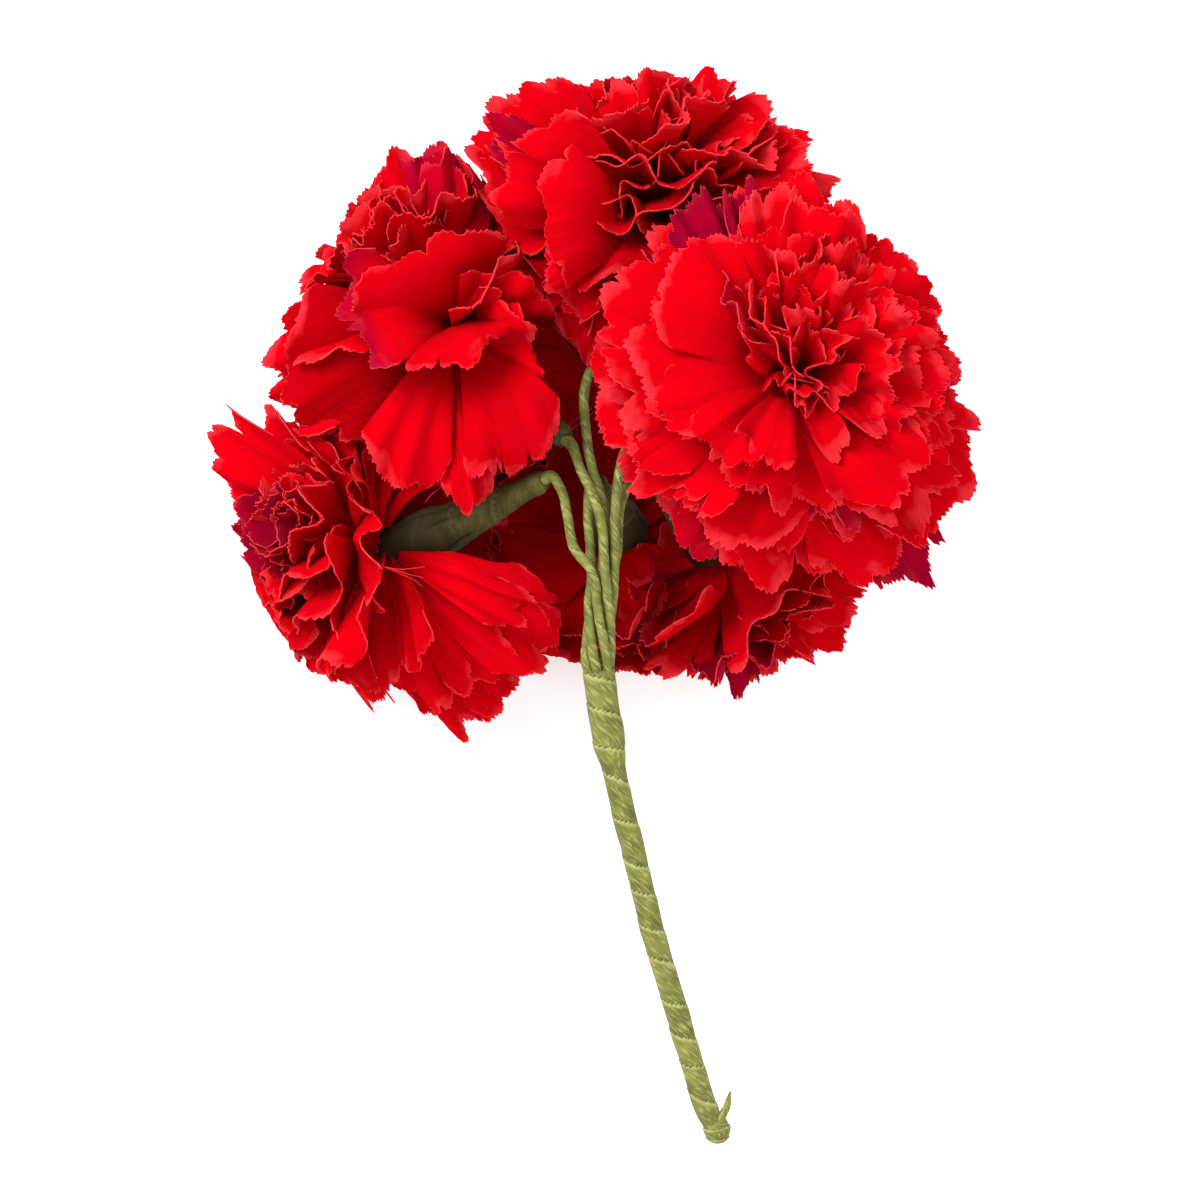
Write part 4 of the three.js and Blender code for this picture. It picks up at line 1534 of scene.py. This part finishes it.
@dataclass
class WoundTube:
    """A tube along a line, wound with tape: a grid rolled up, its seam merged and its ends closed.

    Attributes:
        name: Name of the piece.
        line: The line that it follows.
        around: Number of faces round it.
        pitch: Distance between the turns of the tape, in millimetres.
        step: Height of the tape's edge, in millimetres.
        seed: Seed of the uneven winding.
        folds: Number of long folds towards the far end.
    """

    name: str
    line: SmoothLine
    around: int
    pitch: float
    step: float
    seed: int
    folds: int = 0

    def fold_depth(self, angle: np.ndarray, share: np.ndarray) -> np.ndarray:
        """Return how deep the long folds of gathered tape are, from 0 to about 1.

        Args:
            angle: Angles round the tube.
            share: Places along it, from 0 to 1.

        Returns:
            The depth at each place.
        """
        draw = random.Random(self.seed + 1)
        depth = np.zeros(len(angle))
        for index in range(self.folds):
            wander = draw.uniform(-FOLD_WANDER, FOLD_WANDER)
            middle = (index + wander) * 2 * math.pi / self.folds
            start = draw.uniform(*FOLD_STARTS)
            apart = np.angle(np.exp(1j * (angle - middle - FOLD_TWIST * share)))
            rise = smooth_step(share, start, start + FOLD_RISE)
            depth += np.exp(-((apart / FOLD_WIDTH) ** 2)) * rise
        return depth

    def build(self, radii: np.ndarray, squash: float = 1.0) -> bpy.types.Object:
        """Return the tube as an object.

        Args:
            radii: Radius at each step of the line, in millimetres.
            squash: Height of the section against its width.

        Returns:
            The closed tube, with its map and its values of painted highlight on the raised edges of the
            turns, painted shadow, and painted shade towards a calyx's mouth.
        """
        draw = random.Random(self.seed)
        piece = new_grid(self.name, self.around, self.line.steps)
        across, along = grid_shares(piece.data)
        step_at = np.round(along * self.line.steps).astype(int)
        angle = (across + 1) * math.pi
        walked = self.line.walked[step_at]
        wander = sum(
            height * np.sin(walked / length + draw.uniform(0, WINDING_PHASE))
            for height, length in WINDING_WANDERS
        )
        turn = (walked / self.pitch + angle / (2 * math.pi) + wander) % 1
        lump = sum(height * np.sin(count * angle + walked / length) for height, count, length in LUMPS)
        fold = self.fold_depth(angle, along)
        radius = radii[step_at] * (1 + LUMP_SHARE * lump) + self.step * (1 - turn) - FOLD_DEPTH * fold
        places = (
            self.line.places[step_at]
            + self.line.normals[step_at] * (radius * squash * np.cos(angle))[:, None]
            + self.line.binormals[step_at] * (radius * np.sin(angle))[:, None]
        )
        set_places(piece.data, places)
        slant = walked / TAPE_SLANT
        set_cloth_map(piece.data, angle * radii[step_at] / MM_IN_CM + slant, walked / MM_IN_CM)
        # Painted highlight on the raised edge of each turn
        set_value(piece.data, "overlap_highlight", OVERLAP_HIGHLIGHT * smooth_step(turn, *OVERLAP_TURNS))
        shadow = EDGE_SHADOW * smooth_step(turn, *SHADOW_TURNS)
        set_value(piece.data, "shadow", np.maximum(shadow, fold))
        # Painted shade on a calyx towards its mouth, among the petals
        depth = smooth_step(along, *MOUTH_SHADE_SHARES) if self.folds else np.zeros(len(along))
        set_value(piece.data, "depth", depth)
        make_active(piece)
        bpy.ops.object.mode_set(mode="EDIT")
        bpy.ops.mesh.select_all(action="SELECT")
        bpy.ops.mesh.remove_doubles(threshold=MERGE_DISTANCE)
        bpy.ops.mesh.fill_holes(sides=0)
        bpy.ops.mesh.normals_make_consistent(inside=False)
        bpy.ops.object.mode_set(mode="OBJECT")
        return piece


# Places along a calyx, from 0 at its neck to 1 at its mouth, and its radius there
CALYX_PROFILE = (
    (0, 0.75 * CALYX_NECK_RADIUS),
    (0.02, 0.98 * CALYX_NECK_RADIUS),
    (0.06, 1.08 * CALYX_NECK_RADIUS),
    (0.1, CALYX_NECK_RADIUS),
    (0.14, 1.06 * CALYX_NECK_RADIUS),
    (0.45, 0.6 * CALYX_MOUTH_RADIUS),
    (0.8, 0.9 * CALYX_MOUTH_RADIUS),
    (1, CALYX_MOUTH_RADIUS - 0.1),
)


@dataclass
class TapedCalyx:
    """A calyx wound with dark tape, with long folds towards its mouth.

    Attributes:
        head: The head that it carries.
        finish: Its material.
    """

    head: Head
    finish: bpy.types.Material

    def build(self) -> None:
        """Make and dress the calyx."""
        line = SmoothLine([self.head.neck, self.head.mouth], CALYX_STEPS)
        name = f"taped_calyx_{self.head.name}"
        tube = WoundTube(
            name, line, CALYX_SIDES, CALYX_TAPE_PITCH, TAPE_STEP, self.head.seed, CALYX_FOLDS
        )
        piece = tube.build(np.interp(line.share, *zip(*CALYX_PROFILE)))
        smoothed(piece, CALYX_CREASE_ANGLE)
        dressed(piece, self.finish, f"calyx_{self.head.name}")


@dataclass
class TapedWire:
    """A wire wound with tape, from a calyx's neck into the stem.

    Attributes:
        head: The head that it carries.
        finish: Its material.
    """

    head: Head
    finish: bpy.types.Material

    def points(self) -> list[Point]:
        """Return the points of the wire: straight out of the neck, free, then twisted."""
        neck = vector(self.head.neck)
        outwards = unit(neck - vector(self.head.mouth))
        start = tuple(neck - WIRE_BURIED * outwards)
        line = [start, tuple(neck + WIRE_STRAIGHT * outwards), *self.head.wire]
        for index, (x, y, z) in enumerate((*BUNDLE_LINE, BUNDLE_END)):
            angle = math.radians(self.head.slot) + BUNDLE_TWIST * index / (len(BUNDLE_LINE) - 1)
            reach = BUNDLE_RADIUS if index < len(BUNDLE_LINE) else 0.5 * BUNDLE_RADIUS
            line.append((x + reach * math.cos(angle), y, z + reach * math.sin(angle)))
        return line

    def build(self) -> None:
        """Make and dress the wire."""
        line = SmoothLine(self.points(), WIRE_STEPS)
        radii = WIRE_RADIUS + (WIRE_BUNDLE_RADIUS - WIRE_RADIUS) * smooth_step(line.share, *WIRE_THINNING)
        radii += WIRE_NECK_GROWTH * smooth_step(line.share, *WIRE_NECK_SHARES)
        name = f"taped_wire_{self.head.name}"
        tube = WoundTube(name, line, WIRE_SIDES, WIRE_TAPE_PITCH, WIRE_TAPE_STEP, self.head.seed)
        piece = tube.build(radii)
        smoothed(piece, TAPE_CREASE_ANGLE)
        dressed(piece, self.finish, f"wire_{self.head.name}")


@dataclass
class Stem:
    """The taped stem with its collar, and the folded end of the tape with its tail.

    Attributes:
        core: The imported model's wires inside the stem.
        finish: Material of the tape.
        steel: Material of the wires inside.
    """

    core: bpy.types.Object
    finish: bpy.types.Material
    steel: bpy.types.Material

    def build_tape(self) -> None:
        """Make and dress the tape wound down the stem."""
        line = SmoothLine([*STEM_LINE, STEM_END], STEM_STEPS)
        thinning = smooth_step(line.share, COLLAR_END + COLLAR_EDGE, COLLAR_END + COLLAR_TAPER)
        radii = COLLAR_RADIUS + (STEM_RADIUS - COLLAR_RADIUS) * thinning - STEM_INSET
        radii -= STEM_END_NARROWING * smooth_step(line.share, *STEM_END_SHARES)
        tube = WoundTube("wound_stem_tape", line, STEM_SIDES, STEM_TAPE_PITCH, TAPE_STEP, seed=5)
        piece = tube.build(radii)
        smoothed(piece, TAPE_CREASE_ANGLE)
        dressed(piece, self.finish, "stem_tape")

    def knob(self) -> bpy.types.Object:
        """Return the folded end of the tape, a ball drawn out along its line."""
        line = SmoothLine(list(KNOB_LINE), KNOB_STEPS)
        radii = KNOB_RADIUS * np.sqrt(1 - KNOB_FULLNESS * (2 * line.share - 1) ** 2)
        tube = WoundTube("knob", line, KNOB_SIDES, KNOB_TAPE_PITCH, KNOB_TAPE_STEP, seed=9)
        return tube.build(radii)

    def tail(self) -> bpy.types.Object:
        """Return the loose leaf-like end of the tape beside the knob."""
        line = SmoothLine(list(TAIL_LINE), TAIL_STEPS)
        belly = TAIL_BASE + TAIL_BELLY * np.sin(math.pi * line.share)
        radii = 0.5 * TAIL_WIDTH * belly * (1 - TAIL_POINT * line.share**5)
        tube = WoundTube("tail", line, TAIL_SIDES, TAIL_TAPE_PITCH, 0.0, seed=3)
        return tube.build(radii, TAIL_FLATNESS)

    def build(self) -> None:
        """Make and dress the whole stem."""
        self.build_tape()
        finished(self.core, self.steel)
        piece = joined("folded_tape_end", [self.knob(), self.tail()])
        smoothed(piece, TAPE_CREASE_ANGLE)
        dressed(piece, self.finish, "stem_knob")


@dataclass(frozen=True)
class Lamp:
    """A square soft light that points at the bunch.

    Attributes:
        name: Name of the light.
        place: Where it hangs, in metres.
        size: Length of its side, in metres.
        power: Power, in watts.
    """

    name: str
    place: Point
    size: float
    power: float


@dataclass
class Studio:
    """A pale floor, soft lights and a camera that looks straight down.

    Attributes:
        view_width: Width of the view at the middle of the bunch, in metres.
        lens: Focal length, in millimetres.
        sensor: Width of the sensor, in millimetres.
        middle: Where the camera looks, in metres.
        lamps: The lights.
        sky: Strength of the even light from all sides.
        floor_size: Length of the floor's side, in metres.
        floor_drop: Depth of the floor under the bunch, in metres.
        floor_grey: Share of light that the floor gives back.
        floor_glow: Strength of the floor's own light.
    """

    view_width: float = 0.24
    lens: float = 180.0
    sensor: float = 36.0
    middle: Point = (0.0011, 0.0007, 0.045)
    lamps: tuple[Lamp, ...] = (
        Lamp("key", (-0.7, 0.66, 1.05), 0.8, 23.0),
        Lamp("fill", (0.6, -0.4, 1.0), 1.0, 5.0),
    )
    sky: float = 0.95
    floor_size: float = 6
    floor_drop: float = 0.0002
    floor_grey: float = 0.85
    floor_glow: float = 0.3

    def build_floor(self) -> None:
        """Make the floor."""
        deselect()
        place = (0, 0, -self.floor_drop)
        bpy.ops.mesh.primitive_plane_add(size=self.floor_size, location=place)
        floor = bpy.context.object
        floor.name = "floor"
        sheet = NodeSheet("pale_floor")
        sheet.surface(
            Base_Color=(self.floor_grey, self.floor_grey, self.floor_grey, 1),
            Emission_Color=(1, 1, 1, 1),
            Emission_Strength=self.floor_glow,
            Roughness=0.9,
        )
        finished(floor, sheet.material)

    def build_lamp(self, lamp: Lamp) -> None:
        """Add a light."""
        light = bpy.data.lights.new(lamp.name, "AREA")
        light.size = lamp.size
        light.energy = lamp.power
        lit = bpy.data.objects.new(lamp.name, light)
        bpy.context.collection.objects.link(lit)
        lit.location = lamp.place
        away = unit(vector(lamp.place) - vector(self.middle))
        lit.rotation_euler = (math.acos(away[2]), 0, math.atan2(away[1], away[0]) + math.pi / 2)

    def build_camera(self) -> None:
        """Add the camera and make it the scene's."""
        camera = bpy.data.cameras.new("view_from_above")
        camera.lens = self.lens
        camera.sensor_width = self.sensor
        eye = bpy.data.objects.new("view_from_above", camera)
        bpy.context.collection.objects.link(eye)
        rise = self.view_width * self.lens / self.sensor
        eye.location = (self.middle[0], self.middle[1], self.middle[2] + rise)
        bpy.context.scene.camera = eye

    def build_sky(self) -> None:
        """Light the scene evenly from all sides."""
        world = bpy.data.worlds.new("studio")
        world.use_nodes = True
        inputs = world.node_tree.nodes["Background"].inputs
        inputs["Color"].default_value = (1, 1, 1, 1)
        inputs["Strength"].default_value = self.sky
        bpy.context.scene.world = world

    def build(self) -> None:
        """Make the floor, the lights and the camera."""
        self.build_floor()
        for lamp in self.lamps:
            self.build_lamp(lamp)
        self.build_sky()
        bpy.context.scene.view_settings.view_transform = "Standard"
        self.build_camera()


def main() -> None:
    """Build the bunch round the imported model, in order, and note its sizes."""
    logging.basicConfig(level=logging.INFO, format="%(message)s")
    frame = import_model()
    Studio().build()
    finishes = Finishes()
    for head in HEADS:
        Bloom(head, finishes.petal).build()
        TapedCalyx(head, finishes.calyx).build()
        TapedWire(head, finishes.tape).build()
    Stem(frame["nodes"]["stem_core"], finishes.tape, finishes.steel).build()


if __name__ == "__main__":
    main()
